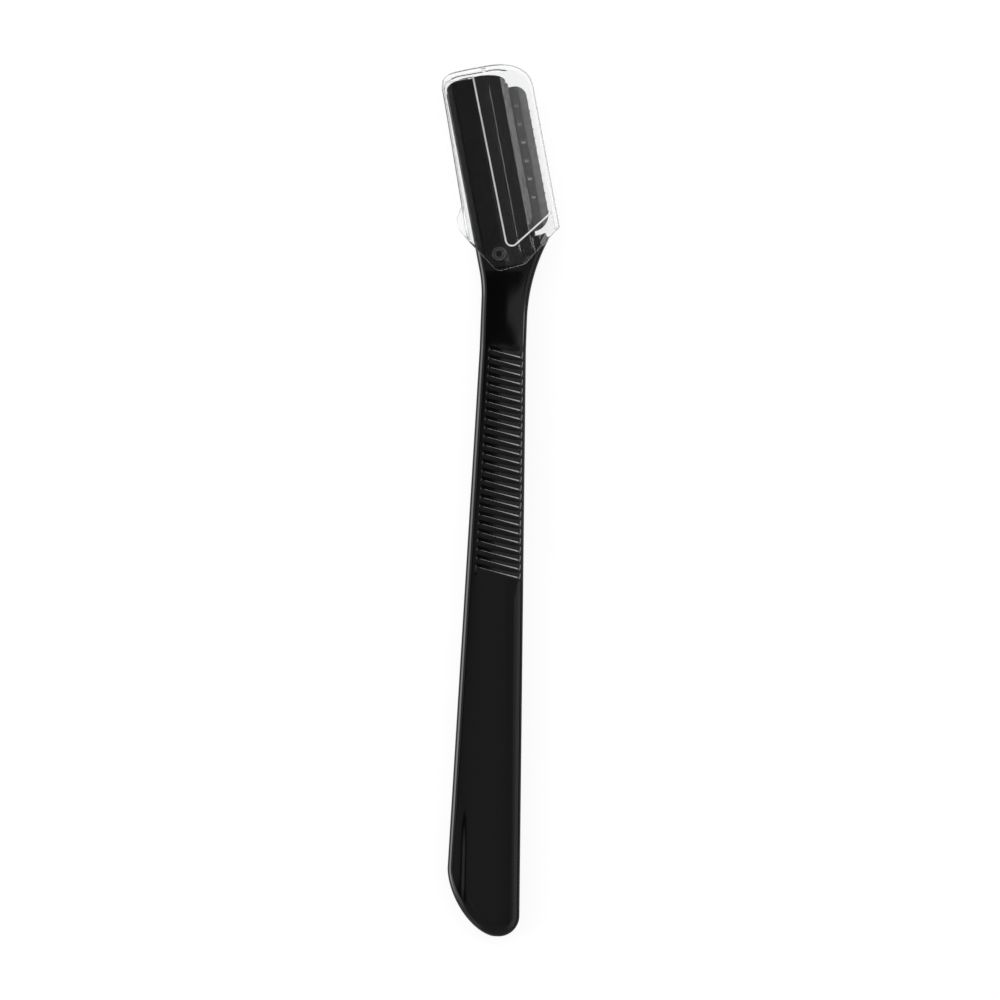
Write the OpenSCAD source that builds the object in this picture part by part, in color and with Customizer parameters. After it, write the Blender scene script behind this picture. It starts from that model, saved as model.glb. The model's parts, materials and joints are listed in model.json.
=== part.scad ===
// Eyebrow razor with a clear push-on cap, lying on its back.
// X is across the handle, Y runs up the handle towards the head, Z is up through the front face.
// The origin lies on the flat back of the handle, on its centre line.
// The head has its own frame: it is bent sideways from the handle, and lengths across it and
// along it are measured from the point where the two centre lines meet.

/* [Handle] */
// Length from the butt tip to the point where the centre lines of handle and head meet
handle_len = 113.2; // [105:0.1:125]
// Thickness of the handle
handle_thick = 4.2; // [3.6:0.1:5]
// Width of the handle at the butt
butt_w = 12.9; // [11:0.1:14]
// Width of the handle at its narrowest place, below the head
neck_w = 8; // [7:0.1:9]
// Length of the stretch at the top of the handle that keeps the narrowest width
neck_len = 12; // [9:0.1:16]
// Radius of the corner on the right side of the butt
butt_corner_r = 3.6; // [2.6:0.1:4.6]
// Height of the long curve on the left side of the butt
butt_curve_h = 11.5; // [8:0.1:14]
// Radius that rounds the edges of the handle's front face
front_edge_r = 1; // [0.6:0.05:1.4]
// Radius that rounds the edges of the handle's back face
back_edge_r = 0.7; // [0.4:0.05:1]
// Distance from the butt tip to the origin on the back face
origin_from_butt = 75; // [40:1:90]

/* [Grip] */
// Number of ridges in the grip
ridge_count = 26; // [10:1:30]
// Distance from one ridge to the next along the handle
ridge_pitch = 1.5; // [1.3:0.05:1.6]
// Slope of the ridges, down towards the right side
ridge_tilt = 14; // [0:1:20]
// Distance below the meeting point to the left end of the highest ridge
grip_below_bend = 12.2; // [11.5:0.1:20]
// Bare strip between the handle's left side and the ridges
grip_left_margin = 1.95; // [1.2:0.05:2.5]
// Bare strip between the handle's right side and the ridges
grip_right_margin = 0.35; // [0.25:0.05:1]
// Radius of a ridge's round top
ridge_r = 0.42; // [0.3:0.02:0.5]
// Height of a ridge above the front face at its left end
ridge_low_h = 0.16; // [0.08:0.02:0.3]
// Height of a ridge above the front face at its right end
ridge_high_h = 0.38; // [0.2:0.02:0.5]

/* [Neck] */
// Length below the meeting point over which the neck thins towards the head
neck_slope_len = 10.5; // [8:0.1:14]
// Distance below the meeting point at which the right side starts to flare
flare_below_bend = 6.8; // [5:0.1:9]
// Radius of the bend on the neck's left side
bend_r = 22; // [14:0.5:30]

/* [Head] */
// Sideways bend of the head from the handle, in degrees
bend_angle = 12.7; // [8:0.1:16]
// Length of the head from the meeting point to the crown of its end lip
head_len = 35.45; // [32:0.05:38]
// Distance from the head's centre line to its left side
head_left = 4.09; // [3.8:0.01:4.4]
// Distance from the head's centre line to the seam between spine and carrier
seam_right = 3.1; // [2.6:0.05:3.4]
// Distance from the head's centre line to the edge of the carrier's flat front
carrier_right = 5.46; // [5.2:0.02:5.8]
// Width of the sloping face between the carrier's flat front and the steel
carrier_bevel_w = 1.12; // [0.8:0.02:1.2]
// Height of the lip that closes the end of the head
lip_h = 2.25; // [1.6:0.05:2.8]
// Thickness of the head at its spine
head_thick = 3; // [2.6:0.05:3.4]
// Thickness of the head's floor behind the cover and the carrier
floor_thick = 0.95; // [0.7:0.05:1.1]
// Drop from the front of the spine to the front of the carrier
blade_side_drop = 0.4; // [0.3:0.05:0.5]
// Radius that rounds the front edge of the spine
spine_edge_r = 0.6; // [0.3:0.05:0.8]
// Distance from the meeting point to the foot of the cover
cover_foot = 2.3; // [2:0.05:2.8]
// Width of the slanting corner at the cover's left foot
cover_chamfer_w = 3.1; // [2.4:0.05:3.3]
// Height of the slanting corner at the cover's left foot
cover_chamfer_h = 4.8; // [4:0.05:5.4]
// Radius of the pocket in the cover's foot, round the tongue of the carrier
pocket_r = 2; // [1.8:0.05:2.1]
// Distance from the cover's foot up to the centre of the pocket
pocket_up = 2.7; // [2.4:0.05:2.9]
// Distance from the meeting point to the top of the shoulder beside the blade
shoulder_top = 6.7; // [6.4:0.05:6.9]
// Distance from the head's centre line to the corner of the shoulder
shoulder_right = 8.57; // [8.2:0.01:8.9]
// Height from the shoulder's corner to its top
shoulder_corner_h = 1.3; // [1:0.05:1.6]
// Gap between pieces that are pressed together in the head
press_gap = 0.04; // [0.02:0.01:0.06]

/* [Blade] */
// Thickness of the blade
blade_thick = 0.2; // [0.15:0.01:0.25]
// Distance from the head's centre line to the cutting edge
blade_edge = 9.4; // [9:0.05:9.6]
// Depth of the blade's back inside the carrier
blade_seat_depth = 1.75; // [1.4:0.05:1.9]
// Width of the ground face next to the cutting edge
grind_w = 1.28; // [0.9:0.02:1.4]
// Space between the shoulder and the lower end of the blade
blade_foot_gap = 0.55; // [0.4:0.05:1.2]
// Space between the lip and the upper end of the blade
blade_top_gap = 0.7; // [0.2:0.05:2]
// Radius of the blade's upper corner beside the cutting edge
blade_corner_r = 2; // [1.5:0.05:2.4]
// Radius of the blade's lower corner beside the cutting edge
blade_foot_r = 3; // [2.4:0.05:3.4]

/* [Guard] */
// Thickness of the steel foil of the guard
foil_thick = 0.1; // [0.08:0.01:0.12]
// Distance from one bar of the guard to the next
bar_pitch = 1.6; // [1.4:0.05:2]
// Width of one bar of the guard
bar_w = 0.24; // [0.18:0.02:0.4]
// Distance that the bars reach past the cutting edge
guard_reach = 0.13; // [0.11:0.01:0.16]
// Distance from one crimp of the guard to the next
crimp_pitch = 3.2; // [2.8:0.05:4]
// Radius of one crimp
crimp_r = 0.27; // [0.2:0.01:0.35]
// Height of one crimp above the foil
crimp_h = 0.06; // [0.04:0.01:0.08]

/* [Hollow pin] */
// Distance from the head's centre line to the pin, towards the left
pin_left = 0.22; // [0:0.01:0.5]
// Distance from the meeting point to the pin
pin_up = 4.59; // [4.3:0.01:5]
// Radius of the pin's flange
pin_flange_r = 1.27; // [1.15:0.01:1.4]
// Radius of the pin's shank
pin_shank_r = 0.85; // [0.75:0.01:0.95]
// Radius of the hole through the pin
pin_bore_r = 0.5; // [0.4:0.01:0.6]
// Radius of the funnel at the mouth of the pin's hole
pin_funnel_r = 0.74; // [0.65:0.01:0.82]
// Thickness of the pin's flange
pin_flange_h = 0.45; // [0.35:0.01:0.55]
// Radius of the round nub beside the pin
nub_r = 0.34; // [0.25:0.01:0.4]

/* [Cap] */
// Thickness of the cap's front wall and back wall
cap_wall = 0.7; // [0.6:0.05:0.8]
// Space between the head and the cap's front wall or back wall
cap_gap = 0.25; // [0.2:0.01:0.3]
// Thickness of the cap's left wall
cap_left_wall = 0.42; // [0.36:0.02:0.6]
// Space between the head's left side and the cap at the end of the head
cap_left_gap = 0.2; // [0.16:0.01:0.3]
// Thickness of the cap's right wall
cap_right_wall = 0.8; // [0.6:0.05:1]
// Space between the guard and the cap's right wall
cap_right_gap = 0.55; // [0.4:0.05:0.8]
// Thickness of the cap's closed end
cap_end_wall = 1.6; // [1.2:0.05:2]
// Space between the head's lip and the cap's closed end
cap_end_gap = 0.15; // [0.1:0.01:0.3]
// Widening of the cap's left side from the closed end down to the thumb tab
cap_draft = 0.38; // [0.2:0.02:0.5]
// Height of the cap's domed end
cap_dome_h = 5.7; // [4:0.1:7]
// Distance from the meeting point to the lowest edge of the cap
cap_mouth = 1.6; // [1.3:0.05:1.8]
// Distance from the meeting point to the lower end of the cap's right wall
cap_right_end = 7.1; // [6.8:0.05:7.6]
// Distance from the meeting point to the lowest place of the tab's outer side
tab_low = 10; // [9:0.1:11]
// Distance from the meeting point to the place where the tab leaves the left wall
tab_high = 13.8; // [13:0.1:15]
// Distance that the thumb tab stands out from the left wall
tab_out = 1.05; // [0.6:0.05:1.5]
// Slope of the edge that runs from the tab back to the left wall, in degrees
tab_slope = 60; // [54:1:62]
// Thickness of the thumb tab
tab_thick = 2.8; // [2:0.1:3.4]
// Distance from the head's centre line to the edge of the panel over the blade
panel_left = 0.9; // [0.8:0.05:1.4]
// Distance from the meeting point to the foot of the panel over the blade
panel_foot = 5.5; // [5:0.1:6.5]
// Distance from the meeting point to the panel's corner at the right wall
panel_corner = 10.25; // [9.8:0.05:11.5]

/* [Hidden] */

// Small overrun that lets a cut pass through a face
over = 0.1;
// Number of steps in each rounded edge
edge_steps = 5;
// Number of steps in each long curve
curve_steps = 9;
// Power of the long curve at the butt: 2 is an ellipse, 1 a straight line
butt_curve_power = 1.65;
// Direction of the nub from the pin, in degrees
nub_turn = 45;
// Place of the lowest crimp, in steps of the guard's bars
crimp_start_share = 1.75;
// Power of the arch of the head's lip, and the share of the lip's height that the arch takes
lip_power = 2.3;
lip_arch_share = 0.82;
// Distance that the lip stands in from the head's left side
lip_inset = 0.15;
// Direction from the pocket's centre to the lower end of its curve, in degrees
pocket_end_turn = 245;
// Bevel on the carrier's edge beside the seam
seam_bevel = 0.12;
// Powers of the cap's domed end: the left corner is tight, the right one is wide
dome_left_power = 5.5;
dome_right_power = 2.4;

butt_half = butt_w / 2;
neck_half = neck_w / 2;
butt_tip_x = butt_half - butt_corner_r;
taper_top = handle_len - neck_len;
flare_start = handle_len - flare_below_bend;

cap_thick = head_thick + 2 * (cap_gap + cap_wall);
head_back = cap_wall + cap_gap;
head_front = head_back + head_thick;
carrier_front = head_front - blade_side_drop;
floor_front = head_back + floor_thick;
blade_mid = head_back + head_thick / 2;
blade_seat = carrier_right - blade_seat_depth;
blade_back = blade_mid - blade_thick / 2;
blade_front = blade_mid + blade_thick / 2;
guard_back = blade_back - foil_thick;
guard_front = blade_front + foil_thick;
lip_foot = head_len - lip_h;
blade_foot = shoulder_top + blade_foot_gap;
blade_top = lip_foot - blade_top_gap;
carrier_end = carrier_right + carrier_bevel_w;
shoulder_corner_up = shoulder_top - shoulder_corner_h;

function smooth(u) = let (v = max(0, min(1, u))) v * v * (3 - 2 * v);
function power(base, p) = base <= 0 ? 0 : pow(base, p);
// A place in the head's frame, given in the handle's frame
function from_head(across, up) = [
    across * cos(bend_angle) - up * sin(bend_angle),
    handle_len + across * sin(bend_angle) + up * cos(bend_angle)
];
function side_half(y) =
    y > taper_top ? neck_half
    : butt_half + (neck_half - butt_half) * (y - butt_corner_r) / (taper_top - butt_corner_r);
function neck_share(y) = smooth((y - handle_len + neck_slope_len) / neck_slope_len);
function front_z(y) = handle_thick + (carrier_front - handle_thick) * neck_share(y);
function back_z(y) = head_back * neck_share(y);

// Outline of the handle, from the butt tip up to the top of the shoulder.
// Each side has the same number of points, and the two sides are joined point by point.
butt_flat = butt_corner_r / 6;
left_reach = butt_tip_x - butt_flat + side_half(butt_curve_h);
butt_left = [
    for (i = [0 : curve_steps])
        let (a = 90 * i / curve_steps)
        [butt_tip_x - butt_flat - left_reach * power(sin(a), 2 / butt_curve_power),
         butt_curve_h * (1 - power(cos(a), 2 / butt_curve_power))]
];
butt_right = [
    for (i = [0 : curve_steps])
        let (a = 90 * i / curve_steps)
        [butt_tip_x + butt_corner_r * sin(a), butt_corner_r * (1 - cos(a))]
];
straight_shares = [0.15, 0.35, 0.55, 0.75, 0.9, 1];
function straight(side, low) = [
    for (u = straight_shares) let (y = low + (taper_top - low) * u) [side * side_half(y), y]
];

// Left bend: an arc that is tangent to the neck's side and to the head's left side
left_meet_y = handle_len + (neck_half * cos(bend_angle) - head_left) / sin(bend_angle);
left_tangent = bend_r * tan(bend_angle / 2);
neck_left = [
    for (i = [0 : curve_steps])
        let (a = bend_angle * i / curve_steps)
        [-neck_half - bend_r * (1 - cos(a)), left_meet_y - left_tangent + bend_r * sin(a)]
];
// Right flare: an arc that leaves the neck's side and ends at the shoulder's corner
shoulder_corner = from_head(shoulder_right, shoulder_corner_up);
flare_out = shoulder_corner[0] - neck_half;
flare_up = shoulder_corner[1] - flare_start;
flare_r = (flare_out * flare_out + flare_up * flare_up) / (2 * flare_out);
flare_turn = asin(flare_up / flare_r);
neck_right = [
    for (i = [0 : curve_steps])
        let (a = flare_turn * i / curve_steps)
        [neck_half + flare_r * (1 - cos(a)), flare_start + flare_r * sin(a)]
];
shoulder_in = shoulder_corner_h / 4;
outline_left = concat(
    butt_left, straight(-1, butt_curve_h), neck_left, [from_head(-head_left, shoulder_top)]);
outline_right = concat(
    butt_right, straight(1, butt_corner_r), neck_right,
    [from_head(shoulder_right - shoulder_in, shoulder_top)]);
stations = len(outline_left);

function unit(v) = v / norm(v);
// Inward direction at point i of one side; turn is 1 on the left side and -1 on the right
function inward(side, i, turn) =
    let (t = unit(side[min(i + 1, stations - 1)] - side[max(i - 1, 0)]))
    i == 0 ? [0, 1] : turn * [t[1], -t[0]];
// One half of a cross-section: up the rounded back edge, then over the rounded front edge
function half_ring(side, i, turn) =
    let (p = side[i], n = inward(side, i, turn), z0 = back_z(p[1]), z1 = front_z(p[1]))
    concat(
        [for (k = [0 : edge_steps])
            let (a = 90 * k / edge_steps, q = p + n * back_edge_r * (1 - sin(a)))
            [q[0], q[1], z0 + back_edge_r * (1 - cos(a))]],
        [for (k = [0 : edge_steps])
            let (a = 90 * k / edge_steps, q = p + n * front_edge_r * (1 - cos(a)))
            [q[0], q[1], z1 - front_edge_r * (1 - sin(a))]]);
half_n = 2 * (edge_steps + 1);
ring_n = 2 * half_n;
// A whole cross-section: up the left side, then down the right side
function ring(i) =
    let (l = half_ring(outline_left, i, 1), r = half_ring(outline_right, i, -1))
    concat(l, [for (k = [half_n - 1 : -1 : 0]) r[k]]);

// Solid of the handle, with rounded edges all round
module handle_body() {
    points = [for (i = [0 : stations - 1]) each ring(i)];
    last = (stations - 1) * ring_n;
    walls = [
        for (i = [0 : stations - 2], k = [0 : ring_n - 1])
            let (a = i * ring_n + k, b = i * ring_n + (k + 1) % ring_n)
            each [[a, a + ring_n, b], [b, a + ring_n, b + ring_n]]
    ];
    butt_end = [
        for (k = [0 : half_n - 2])
            let (a = k, b = k + 1, c = ring_n - 1 - k, d = ring_n - 2 - k)
            each [[a, b, c], [c, b, d]]
    ];
    head_end = [
        for (k = [0 : half_n - 2])
            let (a = last + k, b = last + k + 1, c = last + ring_n - 1 - k, d = last + ring_n - 2 - k)
            each [[a, c, b], [c, d, b]]
    ];
    polyhedron(points, concat(walls, butt_end, head_end));
}

// Places children in the head's frame, and the whole razor on its origin
module in_head() {
    translate([0, handle_len, 0]) rotate([0, 0, bend_angle]) children();
}
module on_origin() {
    translate([0, -origin_from_butt, 0]) children();
}
// Runs a section, drawn as across and up through the thickness, along the head
module along_head(low, high) {
    translate([0, high, 0]) rotate([90, 0, 0]) linear_extrude(high - low) children();
}
function arc(centre, r, from, to, steps) = [
    for (i = [0 : steps]) let (a = from + (to - from) * i / steps) centre + r * [cos(a), sin(a)]
];

// Sections across the head, drawn as across and up through the thickness.
// The front slopes down from the spine to the carrier between slope_start and slope_end.
slope_start = -pin_left;
slope_end = panel_left - cap_gap;
spine_front = concat(
    arc([-head_left + spine_edge_r, head_front - spine_edge_r], spine_edge_r, 180, 90, edge_steps),
    [for (i = [0 : edge_steps])
        let (u = i / edge_steps)
        [slope_start + u * (slope_end - slope_start), head_front - blade_side_drop * smooth(u)]]);
floor_left_back = arc([-head_left + back_edge_r, head_back + back_edge_r], back_edge_r, 270, 180, edge_steps);

module floor_section() {
    polygon(concat(
        floor_left_back,
        [[-head_left, floor_front], [carrier_end - foil_thick, floor_front],
         [carrier_end - foil_thick, floor_front - back_edge_r / 2], [carrier_right, head_back]]));
}
module cover_section() {
    polygon(concat(
        [[-head_left, floor_front]], spine_front,
        [[carrier_right, carrier_front], [carrier_right, floor_front]]));
}
module lip_section() {
    polygon(concat(
        [[-head_left, head_back + back_edge_r]], spine_front,
        [[carrier_right, carrier_front], [carrier_end, guard_front], [carrier_end, floor_front],
         [carrier_right, head_back]],
        [for (i = [0 : edge_steps]) floor_left_back[i]]));
}
module carrier_section() {
    left = seam_right + press_gap;
    polygon([
        [left, floor_front], [left, carrier_front - seam_bevel], [left + seam_bevel, carrier_front],
        [carrier_right, carrier_front], [carrier_end, guard_front], [carrier_end, floor_front]
    ]);
}
module blade_section() {
    polygon([
        [blade_seat, blade_back], [blade_edge - grind_w, blade_back], [blade_edge, blade_mid],
        [blade_edge - grind_w, blade_front], [blade_seat, blade_front]
    ]);
}

// Outlines in the head, drawn as across and along
lip_right = carrier_end - 2 * lip_inset;
lip_arch_h = lip_arch_share * lip_h;
module lip_outline() {
    polygon(concat(
        [[lip_inset - head_left, lip_foot], [lip_right, lip_foot]],
        [for (i = [0 : 2 * curve_steps])
            let (a = 90 * i / curve_steps, c = cos(a), half = c < 0 ? lip_inset - head_left : lip_right)
            [half * power(abs(c), 2 / lip_power),
             head_len - lip_arch_h + lip_arch_h * power(sin(a), 2 / lip_power)]]));
}
module cover_outline() {
    pocket = [seam_right + pocket_r, cover_foot + pocket_up];
    polygon(concat(
        [[-head_left, lip_foot - press_gap], [-head_left, cover_foot + cover_chamfer_h],
         [cover_chamfer_w - head_left, cover_foot], [seam_right, cover_foot]],
        arc(pocket, pocket_r, pocket_end_turn, 180, edge_steps),
        [[seam_right, lip_foot - press_gap]]));
}
tongue_foot = cover_foot + (shoulder_top - cover_foot) / 3;
tongue_left = seam_right + pocket_r / 3;
tongue_right = carrier_right + carrier_bevel_w / 6;
tongue_r = pocket_r / 4;
carrier_foot = shoulder_top + press_gap;
module tongue_outline(gap) {
    r = tongue_r + gap;
    low = tongue_foot - gap;
    polygon(concat(
        arc([tongue_left - gap + r, low + r], r, 180, 270, edge_steps),
        arc([tongue_right + gap - r, low + r], r, 270, 360, edge_steps),
        [[tongue_right + gap, carrier_foot + over], [tongue_left - gap, carrier_foot + over]]));
}
module carrier_outline() {
    bevel_rise = carrier_end - tongue_right;
    polygon([
        [seam_right + press_gap, carrier_foot], [tongue_right, carrier_foot],
        [tongue_right, blade_foot + bevel_rise], [carrier_end, blade_foot + 3 * bevel_rise],
        [carrier_end, lip_foot - press_gap], [seam_right + press_gap, lip_foot - press_gap]
    ]);
}
module blade_outline() {
    low_corner = [blade_edge - blade_foot_r, blade_foot + blade_foot_r];
    high_corner = [blade_edge - blade_corner_r, blade_top - blade_corner_r];
    polygon(concat(
        [[blade_seat, blade_foot + carrier_bevel_w], [carrier_right, blade_foot]],
        arc(low_corner, blade_foot_r, 270, 360, edge_steps),
        arc(high_corner, blade_corner_r, 0, 90, edge_steps),
        [[blade_seat, blade_top]]));
}

// One ridge of the grip; index counts down from the highest ridge
module ridge(index) {
    left_y = handle_len - grip_below_bend - index * ridge_pitch;
    left_x = grip_left_margin - side_half(left_y);
    run = side_half(left_y) - grip_right_margin - left_x;
    length = run / cos(ridge_tilt);
    rise = atan((ridge_high_h - ridge_low_h) / length);
    translate([left_x, left_y, handle_thick + ridge_low_h - ridge_r])
        rotate([0, 0, -ridge_tilt]) rotate([0, 90 - rise, 0]) {
            cylinder(h = length, r = ridge_r, $fn = 32);
            sphere(r = ridge_r, $fn = 32);
        }
}

module handle() {
    color([0.04, 0.04, 0.045]) on_origin() {
        difference() {
            union() {
                handle_body();
                in_head() {
                    along_head(carrier_foot - over, lip_foot + over) floor_section();
                    intersection() {
                        along_head(lip_foot, head_len + over) lip_section();
                        linear_extrude(cap_thick) lip_outline();
                    }
                }
            }
            in_head() {
                translate([0, 0, floor_front]) linear_extrude(head_thick) {
                    cover_outline();
                    tongue_outline(press_gap);
                }
                translate([-pin_left, pin_up, 0]) pin_space();
            }
        }
        for (i = [0 : ridge_count - 1]) ridge(i);
    }
}

// Space for the pin: its shank, and its flange at each face
module pin_space() {
    cylinder(h = cap_thick, r = pin_shank_r + press_gap, $fn = 48);
    cylinder(h = head_back + pin_flange_h / 2, r = pin_flange_r + press_gap, $fn = 48);
    translate([0, 0, head_front - pin_flange_h])
        cylinder(h = head_thick, r = pin_flange_r + press_gap, $fn = 48);
}

module spine_cover() {
    color([0.05, 0.05, 0.055]) on_origin() in_head() {
        difference() {
            union() {
                intersection() {
                    along_head(0, head_len) cover_section();
                    linear_extrude(cap_thick) cover_outline();
                }
                translate([-pin_left, pin_up, carrier_front]) rotate([0, 0, nub_turn])
                    translate([pin_flange_r + nub_r / 2, 0, 0]) sphere(r = nub_r, $fn = 32);
            }
            translate([-pin_left, pin_up, 0]) pin_space();
        }
    }
}

module blade_carrier() {
    color([0.06, 0.06, 0.065]) on_origin() in_head() difference() {
        intersection() {
            along_head(0, head_len) carrier_section();
            linear_extrude(cap_thick) union() {
                carrier_outline();
                tongue_outline(0);
            }
        }
        along_head(0, head_len) blade_section();
    }
}

module blade() {
    color([0.62, 0.63, 0.65]) on_origin() in_head() intersection() {
        along_head(0, head_len) blade_section();
        linear_extrude(cap_thick) blade_outline();
    }
}

module blade_guard() {
    leaf_left = carrier_end + press_gap;
    leaf_right = blade_edge - grind_w;
    first = blade_foot + blade_foot_r;
    bars = floor((blade_top - blade_corner_r - first) / bar_pitch);
    leaf_low = blade_foot + blade_foot_r / 3;
    leaf_high = blade_top - blade_corner_r / 6;
    color([0.5, 0.51, 0.53]) on_origin() in_head() difference() {
        union() {
            translate([leaf_left, leaf_low, guard_back])
                cube([leaf_right - leaf_left, leaf_high - leaf_low, guard_front - guard_back]);
            for (i = [0 : bars]) translate([0, first + i * bar_pitch - bar_w / 2, 0])
                along_head(0, bar_w) polygon([
                    [leaf_right - bar_w, guard_back], [leaf_right, guard_back],
                    [blade_edge + guard_reach, blade_mid - foil_thick / 2],
                    [blade_edge + guard_reach, blade_mid + foil_thick / 2],
                    [leaf_right, guard_front], [leaf_right - bar_w, guard_front]
                ]);
            for (y = [first + crimp_start_share * bar_pitch : crimp_pitch : leaf_high - crimp_r])
                translate([(leaf_left + leaf_right) / 2, y, guard_back - crimp_h])
                    cylinder(h = guard_front - guard_back + 2 * crimp_h, r = crimp_r, $fn = 32);
        }
        along_head(0, head_len) blade_section();
    }
}

module hollow_pin() {
    color([0.05, 0.05, 0.055]) on_origin() in_head() translate([-pin_left, pin_up, head_back])
        difference() {
            union() {
                cylinder(h = head_thick, r = pin_shank_r, $fn = 48);
                cylinder(h = pin_flange_h / 2, r = pin_flange_r, $fn = 48);
                translate([0, 0, head_thick - pin_flange_h])
                    cylinder(h = pin_flange_h, r = pin_flange_r, $fn = 48);
            }
            translate([0, 0, -over]) cylinder(h = head_thick + 2 * over, r = pin_bore_r, $fn = 48);
            translate([0, 0, head_thick - pin_flange_h / 2])
                cylinder(h = pin_flange_h / 2 + over, r1 = pin_bore_r, r2 = pin_funnel_r, $fn = 48);
        }
}

// Cap: a sleeve with a domed closed end and a slanting mouth.
// The foot of its front wall runs down to a blunt point and up again to the right wall.
cap_left = head_left + cap_left_gap + cap_left_wall;
cap_right = blade_edge + guard_reach + cap_right_gap + cap_right_wall;
cap_top = head_len + cap_end_gap + cap_end_wall;
dome_base = cap_top - cap_dome_h;
dome_centre = (cap_right - cap_left) / 2;
dome_half = (cap_right + cap_left) / 2;
function dome(left_inset, right_inset, top_inset) = [
    for (i = [0 : 4 * curve_steps])
        let (a = 45 * i / curve_steps, c = cos(a),
             p = c < 0 ? dome_left_power : dome_right_power,
             half = c < 0 ? left_inset - dome_half : dome_half - right_inset)
        [dome_centre + half * power(abs(c), 2 / p),
         dome_base + (cap_dome_h - top_inset) * power(sin(a), 2 / p)]
];
draft_slope = cap_draft / (dome_base - tab_high);
function cap_left_at(y) = -cap_left - draft_slope * (dome_base - y);
mouth_left = head_left / 3;
mouth_right = seam_right + cap_right_wall;
tab_foot = tab_low - tab_out * tan(tab_slope);
module cap_outline() {
    polygon(concat(
        dome(0, 0, 0),
        [[cap_left_at(tab_foot), tab_foot], [-mouth_left, cap_mouth + mouth_left / 4],
         [-mouth_left / 2, cap_mouth], [mouth_right, cap_mouth + mouth_left / 4],
         [cap_right - cap_right_wall, cap_right_end - cap_right_wall / 2],
         [cap_right, cap_right_end]]));
}
module cap_space_outline() {
    polygon(concat(
        dome(cap_left_wall, cap_right_wall, cap_right_wall),
        [[cap_left_at(-cap_mouth) + cap_left_wall, -cap_mouth],
         [cap_right - cap_right_wall, -cap_mouth]]));
}
// The panel's round foot runs on into a straight edge, up to the corner at the right wall
module panel_outline() {
    r = (seam_right - panel_left) / 2;
    low = [panel_left + r + cap_draft, panel_foot + r];
    right = cap_right - cap_right_wall / 2;
    run = [right, panel_corner] - low;
    turn = atan2(run[1], run[0]) + asin(r / norm(run));
    polygon(concat(
        [[panel_left, cap_top]],
        arc(low, r, 180, 270 + turn, edge_steps),
        [[right, panel_corner], [right, cap_top]]));
}
module tab_outline() {
    root = cap_left_wall / 2;
    outer = cap_left_at(tab_low) - tab_out;
    polygon([
        [cap_left_at(tab_high) + root, tab_high], [cap_left_at(tab_high), tab_high],
        [outer, (tab_high + tab_low) / 2], [outer, tab_low],
        [cap_left_at(tab_foot), tab_foot], [cap_left_at(tab_foot) + root, tab_foot + root]
    ]);
}
module cap() {
    color([0.85, 0.88, 0.9, 0.35]) on_origin() in_head() {
        difference() {
            union() {
                linear_extrude(cap_thick) cap_outline();
                translate([0, 0, (cap_thick - tab_thick) / 2]) linear_extrude(tab_thick) tab_outline();
            }
            difference() {
                translate([0, 0, cap_wall]) linear_extrude(cap_thick - 2 * cap_wall) intersection() {
                    cap_space_outline();
                    translate([-2 * cap_left, -cap_mouth])
                        square([2 * cap_left + cap_right, head_len + cap_end_gap + cap_mouth]);
                }
                translate([0, 0, cap_thick - cap_wall - blade_side_drop])
                    linear_extrude(cap_wall) panel_outline();
            }
        }
    }
}

handle();
spine_cover();
blade_carrier();
blade();
blade_guard();
hollow_pin();
cap();
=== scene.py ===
# Eyebrow razor with a clear push-on cap, lying on its back and seen from straight above.
import json
import math

import bmesh
import bpy
import numpy as np
from mathutils import Matrix, Vector


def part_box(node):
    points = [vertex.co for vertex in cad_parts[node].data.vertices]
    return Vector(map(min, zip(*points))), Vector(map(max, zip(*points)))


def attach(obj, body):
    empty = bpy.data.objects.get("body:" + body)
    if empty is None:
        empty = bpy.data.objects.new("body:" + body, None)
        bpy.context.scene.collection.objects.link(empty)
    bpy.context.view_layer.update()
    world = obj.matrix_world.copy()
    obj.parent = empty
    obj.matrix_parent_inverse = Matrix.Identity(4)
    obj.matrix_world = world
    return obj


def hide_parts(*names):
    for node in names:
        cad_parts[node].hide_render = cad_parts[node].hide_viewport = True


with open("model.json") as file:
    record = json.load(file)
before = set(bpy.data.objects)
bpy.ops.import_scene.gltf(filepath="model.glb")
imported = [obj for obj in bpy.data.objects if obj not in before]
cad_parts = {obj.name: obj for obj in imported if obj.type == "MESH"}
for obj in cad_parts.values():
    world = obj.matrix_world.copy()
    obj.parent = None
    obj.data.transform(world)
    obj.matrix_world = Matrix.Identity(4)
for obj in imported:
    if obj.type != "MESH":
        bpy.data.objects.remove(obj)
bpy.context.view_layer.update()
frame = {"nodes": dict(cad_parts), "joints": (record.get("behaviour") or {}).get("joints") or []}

# Lengths in this script are millimetres and angles are degrees. MM turns lengths into metres
# where a mesh is made.
MM = 0.001
# How far a shape that cuts or joins another reaches into it, and past its end
OVER = 0.1
FAR_OVER = 1.0


def sin(angle):
    return math.sin(math.radians(angle))


def cos(angle):
    return math.cos(math.radians(angle))


def tan(angle):
    return math.tan(math.radians(angle))


def smooth(u):
    u = np.clip(u, 0, 1)
    return u * u * (3 - 2 * u)


def power(base, p):
    return base ** p if base > 0 else 0.0


# The head has its own frame, bent sideways from the handle: across it, along it, and up.
# It starts where the two centre lines meet, HANDLE_LEN above the butt tip.
HANDLE_LEN = 113.2
cap_axis = Vector(frame["joints"][0]["axis"])
bend = math.degrees(math.atan2(-cap_axis.x, cap_axis.y))
butt_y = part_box("handle")[0].y / MM
head_y = butt_y + HANDLE_LEN


def to_row(across, along, up=0.0):
    """A place in the head's frame, given in the row frame."""
    return (across * cos(bend) - along * sin(bend), head_y + across * sin(bend) + along * cos(bend), up)


def to_head(x, y):
    """A place in the row frame, given in the head's frame."""
    return (x * cos(bend) + (y - head_y) * sin(bend), (y - head_y) * cos(bend) - x * sin(bend))


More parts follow.
